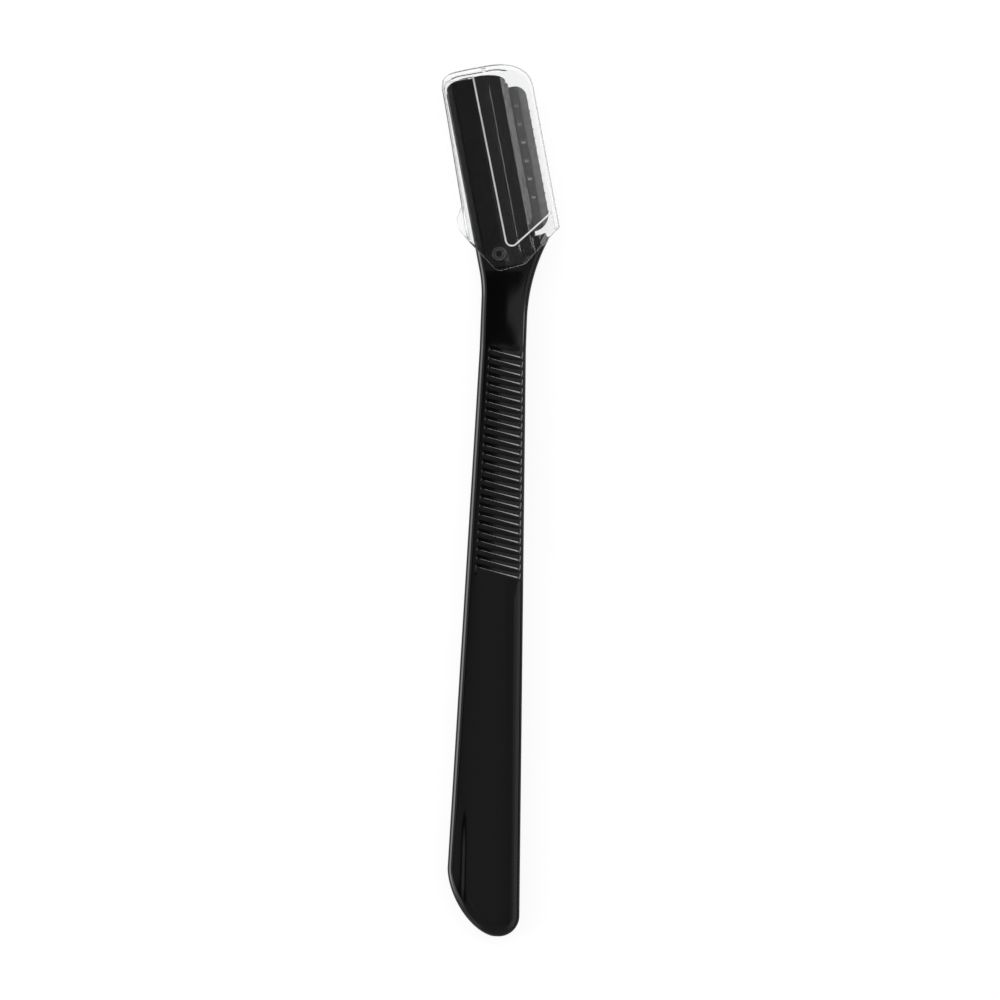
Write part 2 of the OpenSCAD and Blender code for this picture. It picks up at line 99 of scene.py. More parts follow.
def head_box(node):
    """Lowest and highest corner of a CAD node in the head's frame."""
    points = np.array([v.co for v in frame["nodes"][node].data.vertices]) / MM
    across, along = to_head(points[:, 0], points[:, 1])
    places = np.stack([across, along, points[:, 2]], 1)
    return places.min(0), places.max(0)


# Sizes of the handle
HANDLE_THICK = 4.2
BUTT_HALF = 6.45
NECK_HALF = 4.0
NECK_LEN = 12.0
BUTT_CORNER_R = 3.6
BUTT_CURVE_H = 11.5
BUTT_CURVE_POWER = 1.65
FRONT_EDGE_W = 1.0
WIDE_EDGE_W = 1.6
EDGE_WIDEN_LEN = 4.0
FRONT_EDGE_H = 1.0
BACK_EDGE_R = 0.7
NECK_SLOPE_START = 101.2
NECK_SLOPE_END = 115.6
NECK_STEEPEST = 108.3
NECK_STEEP_SHARE = 0.26
NECK_STEEP_HALF = 8.0
NECK_EASE = 1.2
FLARE_BELOW_BEND = 6.8
BEND_R = 22.0
FACE_CROWN = 0.09
SINK_DEPTH = 0.08
SINK_WIDTH = 0.3
SINK_LOW = (-3.45, 4.4)
SINK_HIGH = (-3.65, 23.5)
SINK_SIDE_W = 3.0
SINK_SIDE_FADE = 2.0
SINK_END_FADES = (4.0, 2.0)
taper_top = HANDLE_LEN - NECK_LEN
butt_tip_x = BUTT_HALF - BUTT_CORNER_R
butt_flat = BUTT_CORNER_R / 6

# Sizes of the grip. Where there are two, the first is at a ridge's left end, and the second at
# its right end.
RIDGE_COUNT = 26
RIDGE_PITCH = 1.5
RIDGE_TILT = 14.0
GRIP_BELOW_BEND = 12.2
GRIP_LEFT_MARGIN = 1.95
GRIP_RIGHT_MARGIN = 0.35
RIDGE_STEEP_WIDTHS = (0.2, 0.3)
RIDGE_LIP_WIDTHS = (0.06, 0.34)
RIDGE_LIP_SLOPE = 15.0
RIDGE_FLANK_WIDTHS = (0.6, 0.62)
RIDGE_FLANK_SLOPE = 5.5
RIDGE_CREST_R = 0.03
RIDGE_END_R = 0.34
RIDGE_REACH = 6.0
RIDGE_GROWTH_POWER = 1.6

# Columns and rows of the handle's mesh
FACE_COLUMNS = 84
EDGE_STEPS = 10
BACK_COLUMNS = 6
BUTT_ROWS = 34
BUTT_ROW_POWER = 1.15
BUTT_ROW_GAP = 0.6
CROWN_ROWS = 12
ROW_TURN_START = 22.0
ROW_TURN_LEN = 20.0
ROW_STEP_BELOW = 0.4
ROW_STEP_ABOVE = 0.3
# Shares of the way from one ridge's line to the next at which the mesh has its rows
ROW_SHARES = [-0.2, -0.17, -0.14, -0.11, -0.08, -0.05, -0.025, 0, 0.04, 0.08, 0.13, 0.18, 0.24, 0.3,
              0.37, 0.45, 0.53, 0.61, 0.7]

# Sizes of the head
SHOULDER_TOP = 6.7
SHOULDER_CORNER_H = 1.3
SHOULDER_RIGHT = 8.57
SHOULDER_BEVEL_AT = 7.07
SHOULDER_BEVEL_TILT = 29.0
CARRIER_BEVEL_TILT = 29.0
BEVEL_SHARP = 28.0
SPINE_EDGE_W = 1.7
SPINE_EDGE_H = 0.6
PRESS_GAP = 0.04
LIP_INSET = 0.15
LIP_ARCH_SHARE = 0.82
LIP_POWER = 2.3
COVER_CHAMFER_W = 3.1
COVER_CHAMFER_H = 4.8
POCKET_R = 2.0
POCKET_UP = 2.7
POCKET_END_TURN = 245
SLOPE_START = 0.75
SLOPE_END = 1.2
SEAM_BEVEL_W = 0.32
SEAM_BEVEL_H = 0.21
CARRIER_RIGHT = 5.46
TONGUE_R = 0.5
SOFT_ANGLE = 27
LIP_SOFT_W = 0.22
COVER_SOFT_W = 0.1
CARRIER_SOFT_W = 0.03
cover_low, cover_high = head_box("spine_cover")
carrier_low, carrier_high = head_box("blade_carrier")
pin_low, pin_high = head_box("hollow_pin")
lip_top = head_box("handle")[1][1]
head_left = -cover_low[0]
head_back = pin_low[2]
head_front = cover_high[2]
floor_front = cover_low[2]
carrier_front = carrier_high[2]
carrier_end = carrier_high[0]
bevel_low = carrier_front - (carrier_end - CARRIER_RIGHT) * tan(CARRIER_BEVEL_TILT)
seam = carrier_low[0] - PRESS_GAP
cover_foot = cover_low[1]
lip_foot = cover_high[1] + PRESS_GAP
tongue_foot = cover_foot + (SHOULDER_TOP - cover_foot) / 3
tongue_left = seam + POCKET_R / 3
tongue_right = CARRIER_RIGHT + (carrier_end - CARRIER_RIGHT) / 6
carrier_foot = SHOULDER_TOP + PRESS_GAP

# Sizes of the hollow pin, and of the nub beside it
PIN_SHANK_R = 0.85
PIN_BORE_R = 0.5
PIN_FLANGE_H = 0.45
PIN_WEB_UP = 1.0
PIN_WEB_H = 0.4
PIN_WEB_GRIP = 0.05
PIN_WEB_HOLE_R = 0.01
RING_H = 0.18
RING_GAP = 0.01
NUB_R = 0.34
NUB_H = 0.1
NUB_TURN = 45
pin_middle = ((pin_low[0] + pin_high[0]) / 2, (pin_low[1] + pin_high[1]) / 2)
pin_r = (pin_high[0] - pin_low[0]) / 2

# Sizes of the blade and its guard
BLADE_SEAT_DEPTH = 1.75
BLADE_CORNER_R = 2.0
BLADE_FOOT_R = 3.0
GRIND_W = 1.28
FOIL_THICK = 0.1
BAR_PITCH = 1.6
BAR_W = 0.24
CRIMP_PITCH = 3.2
CRIMP_R = 0.3
CRIMP_START_SHARE = 1.75
CRIMP_RISE = 0.06
CRIMP_TIP_R = 0.01
DIMPLE = 0.5
FOIL_SOFT_W = 0.02
BAR_SOFT_W = 0.04
blade_low, blade_high = head_box("blade")
guard_low, guard_high = head_box("blade_guard")
blade_edge = blade_high[0]
blade_back, blade_front = blade_low[2], blade_high[2]
blade_mid = (blade_back + blade_front) / 2
blade_foot = blade_low[1]
blade_top = blade_high[1]
blade_seat = CARRIER_RIGHT - BLADE_SEAT_DEPTH

# Sizes of the cap
CAP_WALL = 0.7
CAP_LEFT_WALL = 0.42
CAP_LEFT_GAP = 0.2
CAP_RIGHT_WALL = 0.8
CAP_END_WALL = 1.95
CAP_END_SLOPE = 0.85
CAP_WALL_SLOPE = 0.2
CAP_SPACE_EDGE_R = 0.2
CAP_DRAFT = 0.38
CAP_DOME_H = 5.7
CAP_DOME_DROP = 0.3
CAP_RIGHT_END = 7.1
CAP_EDGE_R = 0.4
# Radii of the cap's corners round its mouth, from the left side to the right side
MOUTH_CORNER_R = (1.2, 0.8, 0.8, 1.6, 0.6, 0.3)
MOUTH_OVER = 3.0
DOME_LEFT_POWER = 5.5
DOME_RIGHT_POWER = 2.4
TAB_LOW = 10.0
TAB_HIGH = 13.8
TAB_THICK = 2.8
TAB_SLOPE = 60
TAB_EDGE_R = 0.15
TAB_CORNER_R = (1.2, 1.0)
PANEL_LEFT = 0.9
PANEL_FOOT = 5.5
PANEL_CORNER = 10.25
PANEL_DROP = 0.4
PANEL_SLOPE_W = 0.34
GATE_AT = (3.0, 36.2)
GATE_R = 0.5
GATE_DEPTH = 0.1
cap_low, cap_high = head_box("cap")
cap_right, cap_top, cap_thick = cap_high
cap_mouth = cap_low[1]
cap_left = head_left + CAP_LEFT_GAP + CAP_LEFT_WALL
dome_base = cap_top - CAP_DOME_H
dome_centre = (cap_right - cap_left) / 2
dome_half = (cap_right + cap_left) / 2
tab_out = -cap_low[0] - cap_left - CAP_DRAFT
tab_foot = TAB_LOW - tab_out * tan(TAB_SLOPE)
mouth_left = head_left / 3
mouth_right = seam + CAP_RIGHT_WALL


# Meshes

def new_piece(name, points, faces):
    """A mesh from points in millimetres."""
    mesh = bpy.data.meshes.new(name)
    mesh.from_pydata([tuple(c * MM for c in p) for p in points], [], faces)
    mesh.validate()
    piece = bpy.data.objects.new(name, mesh)
    bpy.context.scene.collection.objects.link(piece)
    return piece


def bake(piece):
    """Applies the piece's modifiers."""
    evaluated = piece.evaluated_get(bpy.context.evaluated_depsgraph_get())
    mesh = bpy.data.meshes.new_from_object(evaluated)
    piece.modifiers.clear()
    piece.data = mesh


def combine(piece, others, operation):
    """Joins other solids to a piece (UNION), cuts them away (DIFFERENCE), or keeps what they share."""
    for other in others:
        step = piece.modifiers.new("combine", "BOOLEAN")
        step.operation = operation
        step.solver = "MANIFOLD"
        step.object = other
        bake(piece)
        bpy.data.objects.remove(other)
    return piece


def join(piece, others):
    """Adds other solids to a piece without cutting them."""
    mesh = bmesh.new()
    for part in [piece] + others:
        mesh.from_mesh(part.data)
    mesh.to_mesh(piece.data)
    mesh.free()
    for other in others:
        bpy.data.objects.remove(other)
    return piece


def soften(piece, width, steps=3, angle=32):
    """Rounds the sharp edges."""
    bevel = piece.modifiers.new("soften", "BEVEL")
    bevel.width = width * MM
    bevel.segments = steps
    bevel.limit_method = "ANGLE"
    bevel.angle_limit = math.radians(angle)
    bake(piece)
    return piece


def without_slivers(piece, reach=0.002):
    """Merges points that almost touch, which a cut leaves, and drops the faces between them."""
    mesh = bmesh.new()
    mesh.from_mesh(piece.data)
    bmesh.ops.remove_doubles(mesh, verts=mesh.verts, dist=reach * MM)
    bmesh.ops.dissolve_degenerate(mesh, edges=mesh.edges, dist=reach * MM)
    mesh.to_mesh(piece.data)
    mesh.free()
    return piece


def arc(centre, r, start, end, steps):
    """Points on an arc, from one direction to the other."""
    turns = [start + (end - start) * i / steps for i in range(steps + 1)]
    return [(centre[0] + r * cos(a), centre[1] + r * sin(a)) for a in turns]


def rounded(corners, steps=6):
    """An outline from corners that are (across, along, radius)."""
    outline = []
    for i, (x, y, r) in enumerate(corners):
        here = Vector((x, y))
        if r <= 0:
            outline.append((x, y))
            continue
        back = (Vector(corners[i - 1][:2]) - here).normalized()
        ahead = (Vector(corners[(i + 1) % len(corners)][:2]) - here).normalized()
        half = back.angle(ahead) / 2
        centre = here + (back + ahead).normalized() * r / math.sin(half)
        first = here + back * r / math.tan(half) - centre
        last = here + ahead * r / math.tan(half) - centre
        turn = first.angle_signed(last)
        for k in range(steps + 1):
            outline.append(tuple(centre + Matrix.Rotation(-turn * k / steps, 2) @ first))
    return outline


def stack_faces(n, levels):
    """Faces of a stack of outlines with n points each: its bottom, its top and its sides."""
    faces = [list(range(n))[::-1], list(range(n * (levels - 1), n * levels))]
    for level in range(levels - 1):
        low = level * n
        faces += [(low + i, low + (i + 1) % n, low + n + (i + 1) % n, low + n + i) for i in range(n)]
    return faces


def prism(name, outline, low, high):
    """A solid from an outline in the head's frame, between two heights."""
    return stack(name, outline, [(low, 0), (high, 0)])


def bar(name, section, low, high):
    """A solid from a section (across, up) that runs along the head."""
    points = [to_row(x, y, z) for y in (low, high) for x, z in section]
    return outward(new_piece(name, points, stack_faces(len(section), 2)))


def turned(name, profile, across, along, steps=64, ring=False):
    """A (radius, up) profile turned about an upright axis in the head's frame.

    A ring's profile closes on itself. Any other is closed by a flat face at each end.
    """
    n = len(profile)
    turns = [360 * k / steps for k in range(steps)]
    points = [to_row(across + r * cos(a), along + r * sin(a), z) for a in turns for r, z in profile]
    faces = []
    for k in range(steps):
        here, after = k * n, (k + 1) % steps * n
        pairs = [(i, (i + 1) % n) for i in range(n if ring else n - 1)]
        faces += [(here + i, here + j, after + j, after + i) for i, j in pairs]
    if not ring:
        faces.append([k * n for k in range(steps)])
        faces.append([k * n + n - 1 for k in range(steps)][::-1])
    return outward(new_piece(name, points, faces))


def grown(outline, distance):
    """An outline moved outward all round."""
    points = np.array(outline)
    before, after = np.roll(points, 1, 0), np.roll(points, -1, 0)
    area = float(np.sum(points[:, 0] * after[:, 1] - after[:, 0] * points[:, 1]))
    sign = 1 if area > 0 else -1

    def outside(run):
        run = run / np.maximum(np.linalg.norm(run, axis=1, keepdims=True), 1e-9)
        return sign * np.stack([run[:, 1], -run[:, 0]], 1)

    first, second = outside(points - before), outside(after - points)
    middle = first + second
    middle /= np.maximum(np.linalg.norm(middle, axis=1, keepdims=True), 1e-9)
    reach = 1 / np.clip(np.sum(middle * first, axis=1, keepdims=True), 0.5, 1)
    return [tuple(p) for p in points + distance * reach * middle]


def stack(name, outline, levels):
    """A solid from an outline in the head's frame. Each level is its height and how far it grows."""
    points = [to_row(x, y, z) for z, grow in levels for x, y in grown(outline, grow)]
    return outward(new_piece(name, points, stack_faces(len(outline), len(levels))))


def outward(piece):
    """Turns a closed solid's faces outward."""
    mesh = piece.data
    mesh.calc_loop_triangles()
    points = [v.co for v in mesh.vertices]
    volume = sum(points[a].dot(points[b].cross(points[c])) for a, b, c in
                 (t.vertices for t in mesh.loop_triangles))
    if volume < 0:
        mesh.flip_normals()
    return piece


def finish_piece(piece, material, body, node, sharp=35):
    """Shades a piece, gives it its material and its body, and hides the CAD node that it stands for."""
    piece.data.shade_smooth()
    piece.data.set_sharp_from_angle(angle=math.radians(sharp))
    normals = piece.modifiers.new("normals", "WEIGHTED_NORMAL")
    normals.keep_sharp = True
    bake(piece)
    piece.data.materials.clear()
    piece.data.materials.append(material)
    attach(piece, body)
    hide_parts(node)
    return piece


# Handle

def side_half(y):
    if y > taper_top:
        return NECK_HALF
    share = (y - BUTT_CORNER_R) / (taper_top - BUTT_CORNER_R)
    return BUTT_HALF + (NECK_HALF - BUTT_HALF) * share


def neck_shares():
    """How far down the neck's slope the front face is, at even steps from its start to its end."""
    places = np.linspace(NECK_SLOPE_START, NECK_SLOPE_END, 400)
    wave = np.cos(np.pi * (places - NECK_STEEPEST) / NECK_STEEP_HALF)
    steep = 1 - NECK_STEEP_SHARE + NECK_STEEP_SHARE * wave
    steep *= smooth((places - NECK_SLOPE_START) / NECK_EASE) * smooth((NECK_SLOPE_END - places) / NECK_EASE)
    total = np.cumsum(steep)
    return places, total / total[-1]


slope_places, slope_shares = neck_shares()


def neck_share(y):
    return float(np.interp(y, slope_places, slope_shares))


def front_z(y):
    return HANDLE_THICK + (carrier_front - HANDLE_THICK) * neck_share(y)


def back_z(y):
    return head_back * neck_share(y)


def right_edge_width(y):
    low = ridges[0][3]
    return WIDE_EDGE_W + (FRONT_EDGE_W - WIDE_EDGE_W) * float(smooth((y - low) / EDGE_WIDEN_LEN + 1))


def butt_rows():
    """Left and right ends of the rows over the butt's curves."""
    reach = butt_tip_x - butt_flat + side_half(BUTT_CURVE_H)
    rows = []
    for i in range(BUTT_ROWS + 1):
        a = 90 * (i / BUTT_ROWS) ** BUTT_ROW_POWER
        left = (butt_tip_x - butt_flat - reach * power(sin(a), 2 / BUTT_CURVE_POWER),
                BUTT_CURVE_H * (1 - power(cos(a), 2 / BUTT_CURVE_POWER)))
        right = (butt_tip_x + BUTT_CORNER_R * sin(a), BUTT_CORNER_R * (1 - cos(a)))
        rows.append((left, right))
    return rows


def tilted_row(middle, tilt):
    """Ends of a row that crosses the handle's centre line at middle and slopes down to the right."""
    left_y = right_y = middle
    for _ in range(4):
        left_y = middle + tilt * side_half(left_y)
        right_y = middle - tilt * side_half(right_y)
    return ((-side_half(left_y), left_y), (side_half(right_y), right_y))


def ridge_places():
    """Place of each ridge's left end, its length, and where its line crosses the centre line."""
    places = []
    for i in range(RIDGE_COUNT):
        y = HANDLE_LEN - GRIP_BELOW_BEND - (RIDGE_COUNT - 1 - i) * RIDGE_PITCH
        x = GRIP_LEFT_MARGIN - side_half(y)
        length = (side_half(y) - GRIP_RIGHT_MARGIN - x) / cos(RIDGE_TILT)
        places.append((x, y, length, y + x * tan(RIDGE_TILT)))
    return places


ridges = ridge_places()


def grip_rows():
    """Rows from the butt to the last ridge. They turn until they run along the ridges."""
    tilt = tan(RIDGE_TILT)
    low = ridges[0][3] - 2 * RIDGE_PITCH
    rows = []
    start = BUTT_CURVE_H + BUTT_ROW_GAP
    steps = 60
    for i in range(steps):
        middle = start + (low - start) * i / steps
        turned_share = float(smooth((middle - low + ROW_TURN_START) / ROW_TURN_LEN))
        rows.append(tilted_row(middle, tilt * turned_share))
    middles = [low + i * ROW_STEP_BELOW * RIDGE_PITCH for i in range(4)]
    middles += [ridge[3] + share * RIDGE_PITCH for ridge in ridges for share in ROW_SHARES]
    middles += [ridges[-1][3] + (1 + ROW_STEP_ABOVE * i) * RIDGE_PITCH for i in range(2)]
    return rows + [tilted_row(middle, tilt) for middle in middles]


def rows_between(first, last, steps):
    """Rows that lead evenly from one row to another. The first one is left out."""
    return [tuple(tuple(a + (b - a) * (i / steps) for a, b in zip(*ends)) for ends in zip(first, last))
            for i in range(1, steps + 1)]


def neck_rows(start):
    """Rows over the neck, from the last tilted row to the top of the shoulder."""
    left_meet = HANDLE_LEN + (NECK_HALF * cos(bend) - head_left) / sin(bend)
    left_start = left_meet - BEND_R * tan(bend / 2)
    corner_x, corner_y, _ = to_row(SHOULDER_RIGHT, SHOULDER_TOP - SHOULDER_CORNER_H)
    flare_start = HANDLE_LEN - FLARE_BELOW_BEND
    out, up = corner_x - NECK_HALF, corner_y - butt_y - flare_start
    flare_r = (out * out + up * up) / (2 * out)
    flare_turn = math.degrees(math.asin(up / flare_r))
    rows = rows_between(start, ((-NECK_HALF, left_start), (NECK_HALF, flare_start)), 18)
    steps = 44
    for i in range(1, steps + 1):
        a = bend * i / steps
        b = flare_turn * i / steps
        rows.append(((-NECK_HALF - BEND_R * (1 - cos(a)), left_start + BEND_R * sin(a)),
                     (NECK_HALF + flare_r * (1 - cos(b)), flare_start + flare_r * sin(b))))
    top_right = SHOULDER_RIGHT - SHOULDER_CORNER_H / 4
    top = (to_row(x, SHOULDER_TOP) for x in (-head_left, top_right))
    return rows + rows_between(rows[-1], [(x, y - butt_y) for x, y, _ in top], 6)


def ridge_height(x, y):
    """Height of the grip above the front face. Each ridge is steep below its crest and gentle above."""
    along_x, along_y = cos(RIDGE_TILT), -sin(RIDGE_TILT)
    height = 0.0
    for left_x, left_y, length, _ in ridges:
        if abs(y - left_y) > RIDGE_REACH:
            continue
        along = (x - left_x) * along_x + (y - left_y) * along_y
        off = (y - left_y) * along_x - (x - left_x) * along_y
        if not -RIDGE_END_R < along < length:
            continue
        share = min(1.0, max(0.0, along / length)) ** RIDGE_GROWTH_POWER
        steep, lip, flank = (low + (high - low) * share for low, high in
                             (RIDGE_STEEP_WIDTHS, RIDGE_LIP_WIDTHS, RIDGE_FLANK_WIDTHS))
        lip_rise = lip * tan(RIDGE_LIP_SLOPE)
        flank_rise = flank * tan(RIDGE_FLANK_SLOPE)
        if off < 0:
            rise = (lip_rise + flank_rise) * math.sqrt(max(0.0, 1 - (off / steep) ** 2))
        elif off < lip:
            fall = math.hypot(off, RIDGE_CREST_R) - RIDGE_CREST_R
            rise = flank_rise + lip_rise - tan(RIDGE_LIP_SLOPE) * fall
        else:
            rise = flank_rise * max(0.0, 1 - (off - lip) / flank)
        end = min((along + RIDGE_END_R) / RIDGE_END_R, (length - along) / RIDGE_END_R, 1.0)
        end = math.sqrt(max(0.0, 1 - (1 - end) ** 2))
        height = max(height, rise * end)
    return height


def sink(x, y):
    """A faint step in the face near the butt, where the moulding sank."""
    share = (y - SINK_LOW[1]) / (SINK_HIGH[1] - SINK_LOW[1])
    middle = SINK_LOW[0] + (SINK_HIGH[0] - SINK_LOW[0]) * share
    off = x - middle
    ends = float(smooth(share * SINK_END_FADES[0]) * smooth((1 - share) * SINK_END_FADES[1]))
    side = float(smooth((off + SINK_SIDE_W) / SINK_SIDE_FADE))
    return SINK_DEPTH / 2 * ends * (math.tanh(off / SINK_WIDTH) - 1) * side


def handle_ring(rows, i):
    """One closed cross-section: back, left side, front face and right side."""
    ring_sides = []
    for side, turn in ((0, 1), (1, -1)):
        here = Vector(rows[i][side])
        before = Vector(rows[max(i - 1, 0)][side])
        after = Vector(rows[min(i + 1, len(rows) - 1)][side])
        run = (after - before).normalized()
        inward = Vector((0, 1)) if i == 0 else turn * Vector((run.y, -run.x))
        low, high = back_z(here.y), front_z(here.y)
        width = right_edge_width(here.y) if side else FRONT_EDGE_W
        back, front = [], []
        for k in range(EDGE_STEPS + 1):
            a = 90 * k / EDGE_STEPS
            back.append((*(here + inward * BACK_EDGE_R * (1 - sin(a))), low + BACK_EDGE_R * (1 - cos(a))))
            front.append((*(here + inward * width * (1 - cos(a))), high - FRONT_EDGE_H * (1 - sin(a))))
        ring_sides.append((back, front))
    (left_back, left_front), (right_back, right_front) = ring_sides
    face = []
    (x0, y0, _), (x1, y1, _) = left_front[-1], right_front[-1]
    for k in range(1, FACE_COLUMNS):
        u = k / FACE_COLUMNS
        x, y = x0 + (x1 - x0) * u, y0 + (y1 - y0) * u
        crown = FACE_CROWN * (1 - (2 * u - 1) ** 2) * min(1.0, i / CROWN_ROWS)
        face.append((x, y, front_z(y) + crown))
    front = left_front + face + right_front[::-1]
    front = [(x, y, z + ridge_height(x, y) + sink(x, y)) for x, y, z in front]
    back = [tuple(a + (b - a) * k / BACK_COLUMNS for a, b in zip(right_back[0], left_back[0]))
            for k in range(1, BACK_COLUMNS)]
    return left_back + front + right_back[::-1] + back


def butt_faces(n):
    """The butt's end: strips between the two columns of the first ring, which has n points."""
    partner = n - BACK_COLUMNS
    top = 2 * EDGE_STEPS + 1
    faces = [(j, j + 1, partner - j - 1, partner - j)[::-1] for j in range(1, top - 1)]
    faces.append(tuple(range(top - 1, partner - top + 2))[::-1])
    faces.append((0, 1, *range(partner - 1, n))[::-1])
    return faces


def handle_body():
    rows = butt_rows() + grip_rows()
    rows += neck_rows(rows[-1])
    rings = [handle_ring(rows, i) for i in range(len(rows))]
    n = len(rings[0])
    points = [(x, y + butt_y, z) for ring in rings for x, y, z in ring]
    _, top, *sides = stack_faces(n, len(rings))
    return outward(new_piece("razor_handle", points, sides + butt_faces(n) + [top]))


# Head

def spine_front(steps=10):
    """Front of the head's section: the round left edge, then the slope down to the carrier."""
    front = [(SPINE_EDGE_W * (1 - cos(90 * i / steps)) - head_left,
              head_front - SPINE_EDGE_H * (1 - sin(90 * i / steps))) for i in range(steps + 1)]
    for i in range(steps + 1):
        u = i / steps
        front.append((SLOPE_START + (SLOPE_END - SLOPE_START) * u,
                      head_front - (head_front - carrier_front) * float(smooth(u))))
    return front


def cover_outline():
    pocket = (seam + POCKET_R, cover_foot + POCKET_UP)
    top = lip_foot - PRESS_GAP
    return [(-head_left, cover_foot + COVER_CHAMFER_H), (COVER_CHAMFER_W - head_left, cover_foot),
            (seam, cover_foot), *arc(pocket, POCKET_R, POCKET_END_TURN, 180, 16), (seam, top),
            (-head_left, top)]


def tongue_outline(gap):
    r = TONGUE_R + gap
    low = tongue_foot - gap
    return (arc((tongue_left - gap + r, low + r), r, 180, 270, 8)
            + arc((tongue_right + gap - r, low + r), r, 270, 360, 8)
            + [(tongue_right + gap, carrier_foot + OVER), (tongue_left - gap, carrier_foot + OVER)])


def lip_outline(steps=36):
    arch = LIP_ARCH_SHARE * (lip_top - lip_foot)
    right = carrier_end - 2 * LIP_INSET
    outline = [(LIP_INSET - head_left, lip_foot), (right, lip_foot)]
    for i in range(steps + 1):
        a = 180 * i / steps
        half = right if a <= 90 else head_left - LIP_INSET
        outline.append((math.copysign(half * power(abs(cos(a)), 2 / LIP_POWER), cos(a)),
                        lip_top - arch + arch * power(sin(a), 2 / LIP_POWER)))
    return outline


def back_edge():
    """The head's round back edge on its left side, in section."""
    return arc((BACK_EDGE_R - head_left, head_back + BACK_EDGE_R), BACK_EDGE_R, 270, 180, 8)


def floor_part():
    right = carrier_end - FOIL_THICK
    section = [*back_edge(), (-head_left, floor_front), (right, floor_front),
               (right, floor_front - BACK_EDGE_R / 2), (CARRIER_RIGHT, head_back)]
    return bar("floor_part", section, carrier_foot - OVER, lip_foot + OVER)


def lip_part():
    section = [*spine_front(), (CARRIER_RIGHT, carrier_front), (carrier_end, bevel_low),
               (carrier_end, floor_front), (CARRIER_RIGHT, head_back), *back_edge()]
    lip = bar("lip_part", section, lip_foot, lip_top + OVER)
    combine(lip, [prism("lip_shape", lip_outline(), head_back - OVER, head_front + OVER)], "INTERSECT")
    return soften(lip, LIP_SOFT_W, 4, SOFT_ANGLE)


def pin_space():
    """Room for the pin, with its flange at each face."""
    flange, shank = pin_r + PRESS_GAP, PIN_SHANK_R + PRESS_GAP
    back, front = head_back + PIN_FLANGE_H / 2, head_front - PIN_FLANGE_H
    profile = [(flange, -OVER), (flange, back), (shank, back), (shank, front), (flange, front),
               (flange, head_front + FAR_OVER)]
    return turned("pin_space", profile, *pin_middle)


def razor_handle():
    handle = handle_body()
    bevel_end = SHOULDER_RIGHT + FAR_OVER
    drop = (bevel_end - SHOULDER_BEVEL_AT) * tan(SHOULDER_BEVEL_TILT)
    above = carrier_front + FAR_OVER
    section = [(SHOULDER_BEVEL_AT, carrier_front), (bevel_end, carrier_front - drop), (bevel_end, above),
               (SHOULDER_BEVEL_AT, above)]
    shoulder_bevel = bar("shoulder_bevel", section, POCKET_R, SHOULDER_TOP + FAR_OVER)
    high = head_front + FAR_OVER
    levels = [(floor_front, 0), (carrier_front - SEAM_BEVEL_H, 0), (carrier_front, SEAM_BEVEL_W),
              (high, SEAM_BEVEL_W)]
    combine(handle, [shoulder_bevel, stack("cover_pocket", cover_outline(), levels),
                     stack("tongue_pocket", tongue_outline(PRESS_GAP), levels)], "DIFFERENCE")
    combine(handle, [floor_part(), lip_part()], "UNION")
    combine(handle, [pin_space()], "DIFFERENCE")
    return handle


def spine_cover():
    section = [(-head_left, floor_front), *spine_front(), (CARRIER_RIGHT, carrier_front),
               (CARRIER_RIGHT, floor_front)]
    cover = bar("cover_moulding", section, cover_foot - OVER, lip_foot + OVER)
    combine(cover, [prism("cover_shape", cover_outline(), head_back, head_front + OVER)], "INTERSECT")
    soften(cover, COVER_SOFT_W)
    off = pin_r + NUB_R / 2
    nub = (pin_middle[0] + off * cos(NUB_TURN), pin_middle[1] + off * sin(NUB_TURN))
    base = head_front + NUB_H - NUB_R
    round_top = [(NUB_R * cos(a), base + NUB_R * sin(a)) for a in range(0, 86, 5)]
    combine(cover, [turned("nub", [(NUB_R, base - NUB_R)] + round_top, *nub, 32)], "UNION")
    combine(cover, [pin_space()], "DIFFERENCE")
    return cover


def blade_carrier():
    left = seam + PRESS_GAP
    section = [(left, floor_front), (left, carrier_front - SEAM_BEVEL_H),
               (left + SEAM_BEVEL_W, carrier_front), (CARRIER_RIGHT, carrier_front),
               (carrier_end, bevel_low), (carrier_end, floor_front)]
    rise = carrier_end - tongue_right
    top = lip_foot - PRESS_GAP
    outline = [(left, carrier_foot), (tongue_right, carrier_foot), (tongue_right, blade_foot + rise),
               (carrier_end, blade_foot + 3 * rise), (carrier_end, top), (left, top)]
    carrier = bar("carrier_moulding", section, cover_foot, lip_foot + OVER)
    shape = combine(prism("carrier_shape", outline, head_back, head_front + OVER),
                    [prism("tongue_shape", tongue_outline(0), head_back, head_front + OVER)], "UNION")
    combine(carrier, [shape], "INTERSECT")
    combine(carrier, [bar("blade_slot", blade_section(), cover_foot, lip_foot + OVER)], "DIFFERENCE")
    return soften(carrier, CARRIER_SOFT_W, 2, SOFT_ANGLE)


def blade_section():
    return [(blade_seat, blade_back), (blade_edge - GRIND_W, blade_back), (blade_edge, blade_mid),
            (blade_edge - GRIND_W, blade_front), (blade_seat, blade_front)]


def steel_blade():
    low = (blade_edge - BLADE_FOOT_R, blade_foot + BLADE_FOOT_R)
    high = (blade_edge - BLADE_CORNER_R, blade_top - BLADE_CORNER_R)
    outline = [(blade_seat, blade_foot + carrier_end - CARRIER_RIGHT), (CARRIER_RIGHT, blade_foot),
               *arc(low, BLADE_FOOT_R, 270, 360, 20), *arc(high, BLADE_CORNER_R, 0, 90, 16),
               (blade_seat, blade_top)]
    blade = bar("steel_blade", blade_section(), blade_foot - OVER, blade_top + OVER)
    return combine(blade, [prism("blade_shape", outline, head_back, head_front)], "INTERSECT")


